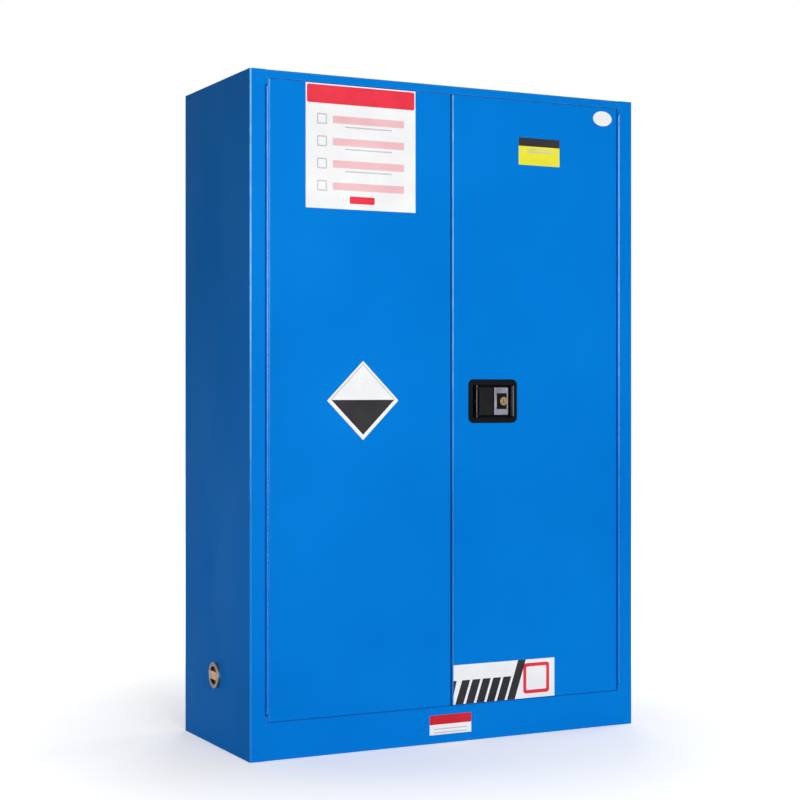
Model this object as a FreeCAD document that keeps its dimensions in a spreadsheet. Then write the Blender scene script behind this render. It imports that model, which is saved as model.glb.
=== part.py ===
import FreeCAD, Part
import math
import os
from types import SimpleNamespace

import Sketcher

# Two-door safety cabinet with double steel walls, two shelves, a sump and a three-point latch.
# Millimetres. +X is right, +Y runs from the doors to the back, +Z is up.
# The origin is the middle of the underside, on the floor.

DIMENSIONS = [
    # Carcass
    ("body_width", 1090, "outer width"),
    ("body_height", 1650, "outer height"),
    ("body_depth", 450, "outer depth, without the parts that stand proud"),
    ("sheet", 1.2, "thickness of the folded sheets"),
    ("air_gap", 38, "air space inside the double walls and the doors"),
    ("bend_radius", 4, "outer radius of the upright bends"),
    ("edge_radius", 1.6, "outer radius of the level bends"),
    ("rear_flange", 20, "flange of a side panel behind the back panel"),
    ("rail_height", 20, "top rail above the doors"),
    ("sill_height", 91, "sill below the doors"),
    ("sill_flange", 25, "flange under the sill"),
    ("lip_height", 16.5, "height of the lips that close a stile above and below its hinge"),
    ("lip_gap", 1, "door to those lips"),
    ("liner_flange", 12, "flange along the front edge of a liner side"),
    ("sump_depth", 50, "depth of the liquid-tight sump"),
    # Doors
    ("door_clearance", 2, "half the gap between the doors"),
    ("door_end_gap", 1, "gap above and below a door"),
    ("pan_flange", 9, "flange round the inner pan of a door"),
    # Hinges
    ("knuckle_diameter", 7, "outer diameter of the hinge knuckles"),
    ("knuckle_pitch", 12.7, "length of one knuckle with its share of the gaps"),
    ("knuckle_gap", 0.4, "end play between two knuckles"),
    ("hinge_margin", 19, "least distance from the end of a door to its hinge"),
    ("hinge_proud", 4, "hinge axis in front of the doors"),
    ("leaf_thickness", 1.2, "thickness of the hinge leaves"),
    ("leaf_depth", 29, "hinge axis to the rear edge of a leaf"),
    ("hinge_play", 0.08, "radial clearance of the hinge pin"),
    # Handle
    ("handle_offset", 119.5, "middle of the cabinet to the middle of the handle"),
    ("handle_height", 857, "floor to the middle of the handle"),
    ("recess_width", 120, "width of the recess in the dish"),
    ("recess_height", 82, "height of that recess"),
    ("rim_pin_side", 12, "width of the dish rim beside the paddle pin"),
    ("rim_lock_side", 10, "width of the dish rim beside the lock"),
    ("rim_end", 14.5, "width of the dish rim above and below the recess"),
    ("dish_corner", 14, "corner radius of the dish rim"),
    ("dish_rim_round", 2, "edge radius of the rim"),
    ("dish_recess_corner", 2, "corner radius of the recess"),
    ("dish_lip", 3, "how far the rim stands proud of the door"),
    ("dish_depth", 24, "rim face to the floor of the dish"),
    ("dish_wall", 2, "wall thickness of the dish"),
    ("dish_fit", 0.5, "clearance of the dish in the door"),
    ("slot_margin", 1, "slot of the dish round the tail that moves in it"),
    ("clamp_width", 16, "width of a dish clamp"),
    ("clamp_height", 12, "height of a dish clamp"),
    ("clamp_thickness", 6, "thickness of a dish clamp"),
    ("clamp_spacing", 70, "distance between the two clamps of a side"),
    # Paddle
    ("pivot_inset", 16, "side wall of the dish to the paddle pin"),
    ("pivot_diameter", 7.5, "diameter of the paddle pin"),
    ("running_play", 0.05, "radial clearance of a shaft in its bore"),
    ("finger_gap", 16, "free edge of the paddle to the side wall of the dish"),
    ("paddle_height", 70, "height of the paddle"),
    ("paddle_sunk", 2, "rim face to the face of the paddle"),
    ("paddle_thickness", 7, "thickness of the grip"),
    ("grip_edge", 4, "axis of the paddle pin to the grip"),
    ("grip_groove", 4, "groove between the grip and the lock housing"),
    ("grip_round", 2.5, "radius of the grip's edge beside the pin"),
    ("grip_notch_width", 10, "width of the small notch in the grip"),
    ("grip_notch_height", 3, "height of that notch"),
    ("grip_notch_depth", 1, "depth of that notch"),
    ("carrier_thickness", 3, "plate that carries the lock housing"),
    ("ear_radius", 6, "outer radius of the paddle's ears"),
    ("ear_height", 5, "height of an ear"),
    ("cheek_overlap", 4, "ears and carrier plate beyond the grip's edges"),
    ("tail_height", 10, "height of the tail behind the paddle"),
    ("tail_thickness", 3, "thickness of the tail"),
    ("tail_root", 6, "edge of the grip to the root of the tail"),
    ("tail_reach", 1, "middle of the tail's finger behind the middle of the bolt"),
    ("paddle_swing", 35, "travel of the paddle, in degrees"),
    # Lock
    ("housing_width", 40, "width of the lock housing"),
    ("housing_thickness", 5, "thickness of the lock housing"),
    ("housing_corner", 3, "corner radius of the housing's free side"),
    ("housing_edge", 0.8, "edge radius of the housing's face"),
    ("window_width", 29.5, "width of the sunk window round the key plug"),
    ("window_height", 41, "height of the window"),
    ("window_edge", 4, "window to the free edge of the paddle"),
    ("window_depth", 2, "depth of the window"),
    ("plug_edge", 12.8, "axis of the key plug to the free edge of the paddle"),
    ("plug_diameter", 21, "diameter of the key plug"),
    ("plug_tail", 8, "diameter of the key plug's tail"),
    ("plug_length", 13.5, "key plug from its face to the cam"),
    ("key_slot_width", 2.4, "width of the key slot"),
    ("key_slot_height", 9, "height of the key slot"),
    ("key_slot_depth", 5, "depth of the key slot"),
    ("cam_width", 12, "width of the lock cam"),
    ("cam_thickness", 3, "thickness of the lock cam"),
    ("cam_grip", 0.3, "cam beyond the outer face of the dish wall"),
    ("cam_strike_thickness", 1, "thickness of the strip that the locked cam catches on"),
    ("cam_strike_height", 78, "height of that strip"),
    # Latch
    ("throw_radius", 21, "axis to driving pin, in the paddle and in the rotor"),
    ("drive_diameter", 6, "diameter of the driving pins"),
    ("drive_play", 0.35, "play of a driving pin in its slot"),
    ("latch_gap", 0.5, "gap between the layers of the latch"),
    ("bolt_height", 20, "height of the centre bolt"),
    ("bolt_thickness", 6, "thickness of the centre bolt"),
    ("bolt_tail", 16, "rotor axis to the rear end of the centre bolt"),
    ("arm_width", 20, "width of the bolt's arm"),
    ("rotor_diameter", 56, "diameter of the rotor"),
    ("rotor_thickness", 3, "thickness of the rotor"),
    ("stud_diameter", 8, "diameter of the latch pivot"),
    ("stud_end", 1, "pivot or plug tail beyond the piece that it holds"),
    ("clip_diameter", 14, "diameter of the clip on the latch pivot"),
    ("clip_thickness", 1, "thickness of the clip"),
    ("rod_diameter", 8, "diameter of the lock rods"),
    ("rod_head", 4, "thickness of the flat head of a rod"),
    ("rod_edge", 4, "metal round the slot of a rod head"),
    ("rod_play", 0.3, "radial clearance of a rod in a guide"),
    ("retracted_depth", 1.5, "drawn bolt and rods behind the door edge"),
    ("strike_play", 1, "radial clearance of a rod or bolt in the carcass"),
    ("strike_thickness", 3, "thickness of a strike plate"),
    ("strike_margin", 12, "strike plate beyond its hole"),
    ("guide_width", 30, "width of a rod guide"),
    ("guide_thickness", 3, "thickness of a rod guide"),
    ("inner_guide", 250, "middle of the latch to the nearer guides"),
    ("outer_guide", 600, "middle of the latch to the further guides"),
    # Shelves
    ("standard_width", 20, "width of a shelf standard"),
    ("standard_depth", 8, "depth of a shelf standard"),
    ("standard_sheet", 1.5, "sheet of a shelf standard"),
    ("standard_bend", 2.5, "outer radius of a standard's bends"),
    ("standard_inset", 55, "inner front or back of the cabinet to the middle of a standard"),
    ("standard_bottom", 100, "floor to the foot of a standard"),
    ("standard_top_gap", 40, "top of a standard to the ceiling"),
    ("slot_pitch", 50, "distance between two slots of a standard"),
    ("slot_height", 12, "height of a slot"),
    ("slot_width", 5, "width of a slot"),
    ("lower_shelf_slot", 8, "slots below the one that holds the lower shelf"),
    ("upper_shelf_slot", 19, "slots below the one that holds the upper shelf"),
    ("hook_sheet", 2, "thickness of a shelf hook"),
    ("hook_width", 16, "width of a shelf hook"),
    ("hook_half_height", 14, "half the height of a shelf hook"),
    ("hook_ledge", 15, "length of the ledge under the shelf"),
    ("hook_gap", 0.5, "shelf to hook"),
    ("tongue_reach", 3, "hook's tongue behind the standard's face"),
    ("shelf_height", 30, "height of a shelf's flanges"),
    ("shelf_front_gap", 19, "closed doors to shelf"),
    ("shelf_rear_gap", 10, "shelf to the back liner"),
    ("drain_diameter", 12, "diameter of a shelf's drain holes"),
    ("drain_pitch", 100, "distance between drain holes"),
    ("drain_inset", 25, "drain holes from the rear edge"),
    # Vents
    ("vent_height", 176, "floor to the low vent, and top to the high vent"),
    ("vent_flange", 65, "diameter of the vent collar's flange"),
    ("vent_flange_round", 2, "edge radius of the flange"),
    ("vent_proud", 8, "flange of the vent collar proud of the side"),
    ("vent_tube", 57, "outer diameter of the vent collar's tube"),
    ("vent_bore", 52, "bore of the vent collar"),
    ("vent_hole_play", 0.3, "clearance of the collar in the walls"),
    ("vent_inner_reach", 3, "vent collar inside the liner"),
    ("cap_sunk", 0.5, "face of the vent cap behind the flange"),
    ("cap_length", 18, "length of the vent cap"),
    ("cap_wall", 2.5, "wall round the finger recesses of the vent cap"),
    ("cap_recess", 8, "depth of those recesses"),
    ("cap_bar_width", 20, "width of the bar between the recesses"),
    ("arrester_length", 10, "thickness of a flame arrester"),
    ("arrester_hole", 6, "diameter of the arrester's holes"),
    ("arrester_ring", 9, "distance between the rings of holes"),
    # Feet
    ("foot_inset", 75, "side and front or back of the cabinet to a foot"),
    ("pad_diameter", 40, "diameter of a foot's pad"),
    ("pad_height", 6, "height of a foot's pad"),
    ("pad_clearance", 3, "clearance of the pad in the base"),
    ("stem_diameter", 10, "diameter of a foot's stem"),
    ("stem_length", 30, "length of a foot's stem"),
    ("bracket_size", 60, "side of a foot bracket"),
    ("bracket_thickness", 3, "thickness of a foot bracket"),
    ("bracket_gap", 0.4, "pad to bracket"),
    ("foot_nut", 17, "width across flats of the nut on a bracket"),
    ("foot_nut_height", 8, "height of that nut"),
    # Earthing stud
    ("ground_inset", 75, "back of the cabinet to the earthing stud"),
    ("ground_height", 120, "floor to the earthing stud"),
    ("ground_diameter", 6, "diameter of the earthing stud"),
    ("ground_length", 20, "earthing stud beyond the side panel"),
    ("ground_neck", 5.5, "diameter of the groove outside the stud's nut"),
    ("ground_neck_length", 1, "length of that groove"),
    ("ground_head", 14, "diameter of the stud's head inside the wall"),
    ("ground_head_height", 4, "height of that head"),
    ("washer_diameter", 16, "diameter of the washer on the stud"),
    ("washer_thickness", 1.5, "thickness of that washer"),
    ("ground_nut", 10, "width across flats of the nut on the stud"),
    ("ground_nut_height", 5, "height of that nut"),
    # Labels
    ("label_thickness", 0.3, "thickness of the labels"),
    ("card_width", 298, "large card: width"),
    ("card_height", 302, "large card: height"),
    ("card_middle", 252, "large card: middle of the cabinet to its middle"),
    ("card_top", 1.5, "large card: top edge of the door to the card"),
    ("diamond_size", 97, "diamond: middle to corner"),
    ("diamond_middle", 247.5, "diamond: middle of the cabinet to its middle"),
    ("diamond_drop", 1, "diamond: middle of the door down to its middle"),
    ("plate_width", 123, "yellow plate: width"),
    ("plate_height", 70, "yellow plate: height"),
    ("plate_middle", 257, "yellow plate: middle of the cabinet to its middle"),
    ("plate_drop", 130, "yellow plate: top edge of the door to its middle"),
    ("oval_width", 58, "oval: width"),
    ("oval_height", 39, "oval: height"),
    ("oval_middle", 451.4, "oval: middle of the cabinet to its middle"),
    ("oval_drop", 29.6, "oval: top edge of the door to its middle"),
    ("strip_width", 298, "striped strip: width"),
    ("strip_height", 99, "striped strip: height"),
    ("strip_inset", 3, "striped strip: free edge of the door to the strip"),
    ("strip_rise", 1.5, "striped strip: lower edge of the door to the strip"),
    ("sill_card_width", 119, "sill card: width"),
    ("sill_card_height", 49, "sill card: height"),
    ("sill_card_middle", -3.5, "sill card: middle of the cabinet to its middle"),
    ("sill_card_rise", 46.5, "sill card: floor to its middle"),
]

LEFT = -1
RIGHT = 1
FRONT = -1
REAR = 1
TURNED_TO = {
    "X": FreeCAD.Rotation(FreeCAD.Vector(0, 1, 0), 90),
    "Y": FreeCAD.Rotation(FreeCAD.Vector(1, 0, 0), -90),
    "Z": FreeCAD.Rotation(),
}
PLANES = {"X": "YZ_Plane", "Y": "XZ_Plane", "Z": "XY_Plane"}
TOUCH = 1e-4

document = FreeCAD.newDocument("SafetyCabinet")
subparts = []


# Sizes that keep their formula


class Size:
    """A number together with the formula that gives it from the sheet."""

    def __init__(self, value, formula):
        self.value = value
        self.formula = formula

    def __float__(self):
        return float(self.value)

    def __add__(self, other):
        other = as_size(other)
        return Size(self.value + other.value, f"({self.formula} + {other.formula})")

    def __sub__(self, other):
        other = as_size(other)
        return Size(self.value - other.value, f"({self.formula} - {other.formula})")

    def __mul__(self, other):
        other = as_size(other)
        return Size(self.value * other.value, f"({self.formula} * {other.formula})")

    def __truediv__(self, other):
        other = as_size(other)
        return Size(self.value / other.value, f"({self.formula} / {other.formula})")

    def __radd__(self, other):
        return as_size(other) + self

    def __rsub__(self, other):
        return as_size(other) - self

    def __rmul__(self, other):
        return as_size(other) * self

    def __neg__(self):
        return as_size(-1) * self


def as_size(value):
    return value if isinstance(value, Size) else Size(float(value), f"({float(value)})")


def sine(degrees):
    return Size(math.sin(math.radians(degrees.value)), f"sin({degrees.formula} * 1deg)")


def cosine(degrees):
    return Size(math.cos(math.radians(degrees.value)), f"cos({degrees.formula} * 1deg)")


def whole(size):
    return Size(math.floor(size.value), f"floor({size.formula})")


def make_sheet():
    """Writes the driving dimensions to the sheet, and returns them by name."""
    sheet = document.addObject("Spreadsheet::Sheet", "Sizes")
    for row, (alias, value, meaning) in enumerate(DIMENSIONS, 1):
        sheet.set(f"A{row}", alias)
        sheet.set(f"B{row}", str(value))
        sheet.setAlias(f"B{row}", alias)
        sheet.set(f"C{row}", meaning)
    document.recompute()
    return SimpleNamespace(
        **{alias: Size(sheet.get(alias), f"Sizes.{alias}") for alias, _, _ in DIMENSIONS}
    )


dim = make_sheet()


# Helpers for document objects


def bind(thing, name, size):
    thing.setExpression(name, as_size(size).formula)


def finish(name, thing):
    """Names a document object as a sub-part of the cabinet."""
    thing.Label = name
    subparts.append(thing)
    return thing


def box(name, x, y, z):
    """A block between two sizes along each axis."""
    block = document.addObject("Part::Box", name)
    for length, axis, (low, high) in zip(("Length", "Width", "Height"), "xyz", (x, y, z)):
        bind(block, length, high - low)
        bind(block, f"Placement.Base.{axis}", low)
    return block


def cylinder(name, axis, middle, span, radius):
    """A cylinder along an axis. middle gives its place on the other two axes, in X, Y, Z order."""
    solid = document.addObject("Part::Cylinder", name)
    solid.Placement = FreeCAD.Placement(FreeCAD.Vector(), TURNED_TO[axis])
    bind(solid, "Radius", radius)
    bind(solid, "Height", span[1] - span[0])
    places = iter(middle)
    for letter in "XYZ":
        place = span[0] if letter == axis else next(places)
        bind(solid, f"Placement.Base.{letter.lower()}", place)
    return solid


def hexagon(name, axis, middle, span, across_flats):
    """A six-sided prism along an axis, as for a nut."""
    prism = document.addObject("Part::Prism", name)
    prism.Placement = FreeCAD.Placement(FreeCAD.Vector(), TURNED_TO[axis])
    prism.Polygon = 6
    bind(prism, "Circumradius", across_flats / as_size(math.sqrt(3)))
    bind(prism, "Height", span[1] - span[0])
    places = iter(middle)
    for letter in "XYZ":
        place = span[0] if letter == axis else next(places)
        bind(prism, f"Placement.Base.{letter.lower()}", place)
    return prism


def fuse(name, *pieces):
    joined = document.addObject("Part::MultiFuse", name)
    joined.Shapes = list(pieces)
    joined.Refine = True
    return joined


def cut(name, base, *tools):
    """The base without the tools."""
    result = document.addObject("Part::Cut", name)
    result.Base = base
    result.Tool = tools[0] if len(tools) == 1 else fuse(f"{name}_tools", *tools)
    result.Refine = True
    return result


def group(name, pieces):
    """Alike pieces that share one node as separate solids."""
    compound = document.addObject("Part::Compound", name)
    compound.Links = list(pieces)
    return compound


def mirrored(name, source):
    """The twin of a piece on the other side of the cabinet's middle."""
    twin = document.addObject("Part::Mirroring", name)
    twin.Source = source
    twin.Normal = FreeCAD.Vector(1, 0, 0)
    return twin


# Helpers for bodies


def new_body(name):
    return document.addObject("PartDesign::Body", name)


def new_sketch(body, axis, place):
    """A sketch square to an axis, at a place along it. Its own axes are the other two in order."""
    sketch = body.newObject("Sketcher::SketchObject", f"{body.Name}_sketch")
    plane = next(o for o in body.Origin.OriginFeatures if o.Role == PLANES[axis])
    sketch.AttachmentSupport = [(plane, "")]
    sketch.MapMode = "FlatFace"
    bind(sketch, "AttachmentOffset.Base.z", -place if axis == "Y" else place)
    return sketch


def hold(sketch, kind, where, size):
    """Adds one dimension to a sketch, bound to its formula."""
    number = sketch.addConstraint(Sketcher.Constraint(kind, *where, float(size)))
    bind(sketch, f"Constraints[{number}]", size)


def polygon(sketch, corners):
    """A closed outline whose corners stand at the given sizes."""
    first = sketch.GeometryCount
    count = len(corners)
    points = [FreeCAD.Vector(float(a), float(b), 0) for a, b in corners]
    for i in range(count):
        sketch.addGeometry(Part.LineSegment(points[i], points[(i + 1) % count]), False)
    for i in range(count):
        following = first + (i + 1) % count
        sketch.addConstraint(Sketcher.Constraint("Coincident", first + i, 2, following, 1))
    for i, (a, b) in enumerate(corners):
        hold(sketch, "DistanceX", (-1, 1, first + i, 1), a)
        hold(sketch, "DistanceY", (-1, 1, first + i, 1), b)


def rectangle(sketch, first, second):
    """A rectangle between two sizes along each of the sketch's axes."""
    (left, right), (low, high) = first, second
    polygon(sketch, [(left, low), (right, low), (right, high), (left, high)])


def circle(sketch, a, b, radius):
    number = sketch.GeometryCount
    centre = FreeCAD.Vector(float(a), float(b), 0)
    sketch.addGeometry(Part.Circle(centre, FreeCAD.Vector(0, 0, 1), float(radius)), False)
    hold(sketch, "DistanceX", (-1, 1, number, 3), a)
    hold(sketch, "DistanceY", (-1, 1, number, 3), b)
    hold(sketch, "Radius", (number,), radius)


def pad(sketch, length):
    """Adds the sketch's outline: towards +X or +Z, or from its place towards the front."""
    body = sketch.getParentGeoFeatureGroup()
    feature = body.newObject("PartDesign::Pad", f"{body.Name}_pad")
    feature.Profile = sketch
    bind(feature, "Length", length)
    document.recompute()
    return feature


def pocket(sketch, length):
    """Takes the sketch's outline away, in the direction in which pad would add it."""
    body = sketch.getParentGeoFeatureGroup()
    before = body.Shape.Volume
    feature = body.newObject("PartDesign::Pocket", f"{body.Name}_pocket")
    feature.Profile = sketch
    feature.Reversed = True
    bind(feature, "Length", length)
    document.recompute()
    if body.Shape.Volume >= before:
        raise RuntimeError(f"{feature.Name} cuts nothing")
    return feature


def edges_at(shape, axis, corners):
    """The names of the straight edges along an axis that stand at the given corners."""
    others = [letter for letter in "XYZ" if letter != axis]
    names = []
    for number, edge in enumerate(shape.Edges, 1):
        start, end = edge.Vertexes[0], edge.Vertexes[-1]
        straight = abs(edge.Length - abs(getattr(end, axis) - getattr(start, axis))) < TOUCH
        for corner in corners:
            there = all(
                abs(getattr(vertex, letter) - float(size)) < TOUCH
                for vertex in (start, end)
                for letter, size in zip(others, corner)
            )
            if straight and there:
                names.append(f"Edge{number}")
    if len(names) < len(corners):
        raise RuntimeError(f"only {len(names)} of {len(corners)} edges found")
    return names


def round_edges(body, axis, corners, radius):
    """Rounds the edges along an axis that stand at the given corners."""
    base = body.Tip
    names = edges_at(base.Shape, axis, corners)
    feature = body.newObject("PartDesign::Fillet", f"{body.Name}_round")
    feature.Base = (base, names)
    bind(feature, "Radius", radius)
    document.recompute()
    return feature


def round_face(body, axis, place, radius):
    """Rounds all the edges of the flat side that stands at a place along an axis."""
    base = body.Tip
    names = [
        f"Edge{number}"
        for number, edge in enumerate(base.Shape.Edges, 1)
        if lies_at(edge, axis, place)
    ]
    feature = body.newObject("PartDesign::Fillet", f"{body.Name}_round")
    feature.Base = (base, names)
    bind(feature, "Radius", radius)
    document.recompute()
    return feature


def lies_at(shape, axis, place):
    """Whether an edge or a face lies in the plane at a place along an axis."""
    low, high = getattr(shape.BoundBox, f"{axis}Min"), getattr(shape.BoundBox, f"{axis}Max")
    return abs(low - float(place)) < TOUCH and abs(high - float(place)) < TOUCH


def hollow(body, axis, place, sheet):
    """Hollows the body to a sheet, open on the flat side that stands at a place along an axis."""
    base = body.Tip
    names = [
        f"Face{number}"
        for number, face in enumerate(base.Shape.Faces, 1)
        if lies_at(face, axis, place)
    ]
    feature = body.newObject("PartDesign::Thickness", f"{body.Name}_sheet")
    feature.Base = (base, names)
    feature.Reversed = True
    bind(feature, "Value", sheet)
    document.recompute()
    return feature


def pattern(feature, direction, spacing, count):
    """Repeats a feature along one of its own sketch's axes."""
    body = feature.getParentGeoFeatureGroup()
    repeated = body.newObject("PartDesign::LinearPattern", f"{body.Name}_pattern")
    repeated.Originals = [feature]
    repeated.Direction = (feature.Profile[0], [direction])
    repeated.Mode = 1
    bind(repeated, "Offset", spacing)
    bind(repeated, "Occurrences", count)
    body.Tip = repeated
    document.recompute()
    return repeated


def polar_pattern(feature, count):
    """Repeats a feature round the X axis through its own sketch's origin."""
    body = feature.getParentGeoFeatureGroup()
    repeated = body.newObject("PartDesign::PolarPattern", f"{body.Name}_pattern")
    repeated.Originals = [feature]
    repeated.Axis = (feature.Profile[0], ["N_Axis"])
    repeated.Angle = 360
    repeated.Occurrences = count
    body.Tip = repeated
    document.recompute()
    return repeated


def folded_strip(body, axis, span, path, thickness, rounds):
    """A strip folded along straight lines and run along an axis.

    path lists the corners of the strip's outer side, which lies to the right of the way along
    it, and rounds gives the outer radius at each corner between its two ends.
    """
    inner = []
    for i, (a, b) in enumerate(path):
        along = []
        if i:
            along.append((path[i - 1], path[i]))
        if i + 1 < len(path):
            along.append((path[i], path[i + 1]))
        step_a, step_b = 0, 0
        for start, end in along:
            step_a -= direction(start[1], end[1])
            step_b += direction(start[0], end[0])
        inner.append((a + thickness * step_a, b + thickness * step_b))
    place = span[1] if axis == "Y" else span[0]
    sketch = new_sketch(body, axis, place)
    polygon(sketch, path + inner[::-1])
    pad(sketch, span[1] - span[0])
    for outer_corner, inner_corner, radius in zip(path[1:-1], inner[1:-1], rounds):
        round_edges(body, axis, [outer_corner], radius)
        round_edges(body, axis, [inner_corner], radius - thickness)


def direction(start, end):
    """Which way a size runs to another: 1, 0 or -1."""
    return (float(end) > float(start)) - (float(end) < float(start))


def middle_of(low, high):
    return (low + high) / 2


# Places that several pieces share

half_width = dim.body_width / 2
front = -dim.body_depth / 2
back = dim.body_depth / 2
wall = 2 * dim.sheet + dim.air_gap
jamb_back = front + wall
liner_side = half_width - wall
liner_back_face = back - wall
ceiling = dim.body_height - wall
opening_bottom = dim.sill_height
opening_top = dim.body_height - dim.rail_height
sump_floor = dim.sill_height - dim.sump_depth

door_bottom = opening_bottom + dim.door_end_gap
door_top = opening_top - dim.door_end_gap
door_hinge_edge = liner_side - dim.knuckle_diameter
door_back = front + wall
pan_face = door_back - dim.sheet
door_middle = middle_of(door_bottom, door_top)

hinge_x = liner_side - dim.knuckle_diameter / 2
hinge_y = front - dim.hinge_proud
knuckle_radius = dim.knuckle_diameter / 2
knuckle_count = whole((door_top - door_bottom - 2 * dim.hinge_margin) / dim.knuckle_pitch)
hinge_length = knuckle_count * dim.knuckle_pitch
hinge_bottom = door_middle - hinge_length / 2
hinge_top = door_middle + hinge_length / 2

rim_face = front - dim.dish_lip
dish_floor = rim_face + dim.dish_depth
dish_back = dish_floor + dim.dish_wall
dish_left = dim.handle_offset - dim.recess_width / 2
dish_right = dim.handle_offset + dim.recess_width / 2
handle_z = dim.handle_height

bolt_front = dish_back + 2 * dim.latch_gap
bolt_back = bolt_front + dim.bolt_thickness
rotor_front = bolt_back + dim.latch_gap
rotor_back = rotor_front + dim.rotor_thickness
head_front = rotor_back + dim.latch_gap
head_back = head_front + dim.rod_head

paddle_x = dish_left + dim.pivot_inset
paddle_y = middle_of(bolt_front, bolt_back) + dim.tail_reach - dim.throw_radius
paddle_free_edge = dish_right - dim.finger_gap
paddle_face = rim_face + dim.paddle_sunk
paddle_back = paddle_face + dim.paddle_thickness
paddle_low = handle_z - dim.paddle_height / 2
paddle_high = handle_z + dim.paddle_height / 2

drive_radius = dim.drive_diameter / 2
slot_radius = drive_radius + dim.drive_play
throw = dim.throw_radius * sine(dim.paddle_swing)
throw_sag = dim.throw_radius * (1 - cosine(dim.paddle_swing))
rotor_x = dim.handle_offset
top_rod_x = rotor_x + dim.throw_radius
bottom_rod_x = rotor_x - dim.throw_radius
rod_radius = dim.rod_diameter / 2
rod_y = head_front - rod_radius / 2
strike_radius = rod_radius + dim.strike_play

plug_x = paddle_free_edge - dim.plug_edge
plug_back = paddle_face + dim.plug_length
cam_back = plug_back + dim.cam_thickness

standard_face = liner_side - dim.standard_depth
standard_top = ceiling - dim.standard_top_gap
first_slot = dim.standard_bottom + dim.slot_pitch / 2
shelf_half_width = standard_face - dim.hook_sheet - dim.hook_gap
shelf_back = liner_back_face - dim.shelf_rear_gap
shelf_front = jamb_back + dim.shelf_front_gap

low_vent = dim.vent_height
high_vent = dim.body_height - dim.vent_height


# Carcass


def side_panel(name, side, vent_z):
    """A side sheet, folded into the stile and jamb in front and into a flange behind."""
    body = new_body(f"{name}_sheet")
    path = [
        (half_width - dim.rear_flange, back),
        (half_width, back),
        (half_width, front),
        (liner_side, front),
        (liner_side, jamb_back),
    ]
    path = [(side * x, y) for x, y in path]
    if side == RIGHT:
        path = path[::-1]
    radii = [dim.bend_radius] * 3
    folded_strip(body, "Z", (as_size(0), dim.body_height), path, dim.sheet, radii)
    whole_side = fuse(f"{name}_whole", body, *stile_lips(name, side))
    reach = (side * (half_width + dim.sheet), side * (half_width - 2 * dim.sheet))
    vent_radius = dim.vent_tube / 2 + dim.vent_hole_play
    tools = [cylinder(f"{name}_vent", "X", (as_size(0), vent_z), sorted_span(reach), vent_radius)]
    if side == RIGHT:
        stud = ground_place()
        radius = dim.ground_diameter / 2 + dim.vent_hole_play
        tools.append(cylinder(f"{name}_stud", "X", stud, sorted_span(reach), radius))
    return finish(name, cut(name, whole_side, *tools))


def stile_lips(name, side):
    """Strips that square the stile's bend beside rail and sill, and close the hinge's ends."""
    bend_end = liner_side + dim.bend_radius
    lip_edge = door_hinge_edge + dim.lip_gap
    strips = (
        ("sill", liner_side, dim.bend_radius, as_size(0), opening_bottom),
        ("low", lip_edge, dim.sheet, opening_bottom, opening_bottom + dim.lip_height),
        ("high", lip_edge, dim.sheet, opening_top - dim.lip_height, opening_top),
        ("rail", liner_side, dim.bend_radius, opening_top, dim.body_height),
    )
    return [
        box(
            f"{name}_{place}_lip",
            sorted_span((side * edge, side * bend_end)),
            (front, front + thickness),
            (low, high),
        )
        for place, edge, thickness, low, high in strips
    ]


def sorted_span(ends):
    return tuple(sorted(ends, key=float))


def ground_place():
    """Where the earthing stud passes through the right side, along Y and Z."""
    return (back - dim.ground_inset, dim.ground_height)


def back_panel():
    body = new_body("back_panel")
    sketch = new_sketch(body, "Y", back - dim.sheet)
    reach = half_width - dim.bend_radius
    rectangle(sketch, (-reach, reach), (dim.sheet, dim.body_height - dim.sheet))
    pad(sketch, dim.sheet)
    return finish("back_panel", body)


def top_panel(sides):
    """The top sheet, folded down into the top rail and back, and trimmed to the side sheets."""
    body = new_body("top_panel_sheet")
    path = [
        (back - dim.sheet, dim.body_height),
        (front, dim.body_height),
        (front, opening_top),
        (jamb_back, opening_top),
    ]
    radii = [dim.bend_radius, dim.edge_radius]
    folded_strip(body, "X", (-liner_side, liner_side), path, dim.sheet, radii)
    inner = half_width - dim.sheet
    level = (dim.body_height - dim.sheet, dim.body_height)
    ends = []
    for place, side in (("left", LEFT), ("right", RIGHT)):
        across = sorted_span((side * liner_side, side * inner))
        ends.append(box(f"top_panel_end_{place}", across, (jamb_back, back - dim.sheet), level))
        across = sorted_span((side * (liner_side + dim.sheet), side * inner))
        ends.append(box(f"top_panel_tab_{place}", across, (front + dim.sheet, jamb_back), level))
    hole = cylinder(
        "top_panel_rod_hole",
        "Z",
        (top_rod_x, rod_y),
        (opening_top - dim.sheet, opening_top + 2 * dim.sheet),
        strike_radius,
    )
    whole_top = fuse("top_panel_whole", body, *ends)
    return finish("top_panel", cut("top_panel", whole_top, hole, *sides))


def base_panel(sides):
    """The bottom sheet, with a hole for each foot and a tab under each stile."""
    inner = half_width - dim.sheet
    rear = (front + dim.sill_flange, back - dim.sheet)
    plates = [box("base_panel_plate", (-inner, inner), rear, (as_size(0), dim.sheet))]
    for place, side in (("left", LEFT), ("right", RIGHT)):
        across = sorted_span((side * (liner_side + dim.sheet), side * inner))
        tab_reach = (front + dim.sheet, front + dim.sill_flange)
        plates.append(box(f"base_panel_tab_{place}", across, tab_reach, (as_size(0), dim.sheet)))
    radius = dim.pad_diameter / 2 + dim.pad_clearance
    holes = [
        cylinder(f"base_panel_hole_{corner}", "Z", (x, y), (-dim.sheet, 2 * dim.sheet), radius)
        for corner, x, y in foot_places()
    ]
    whole_base = fuse("base_panel_whole", *plates)
    return finish("base_panel", cut("base_panel", whole_base, *holes, *sides))


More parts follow.
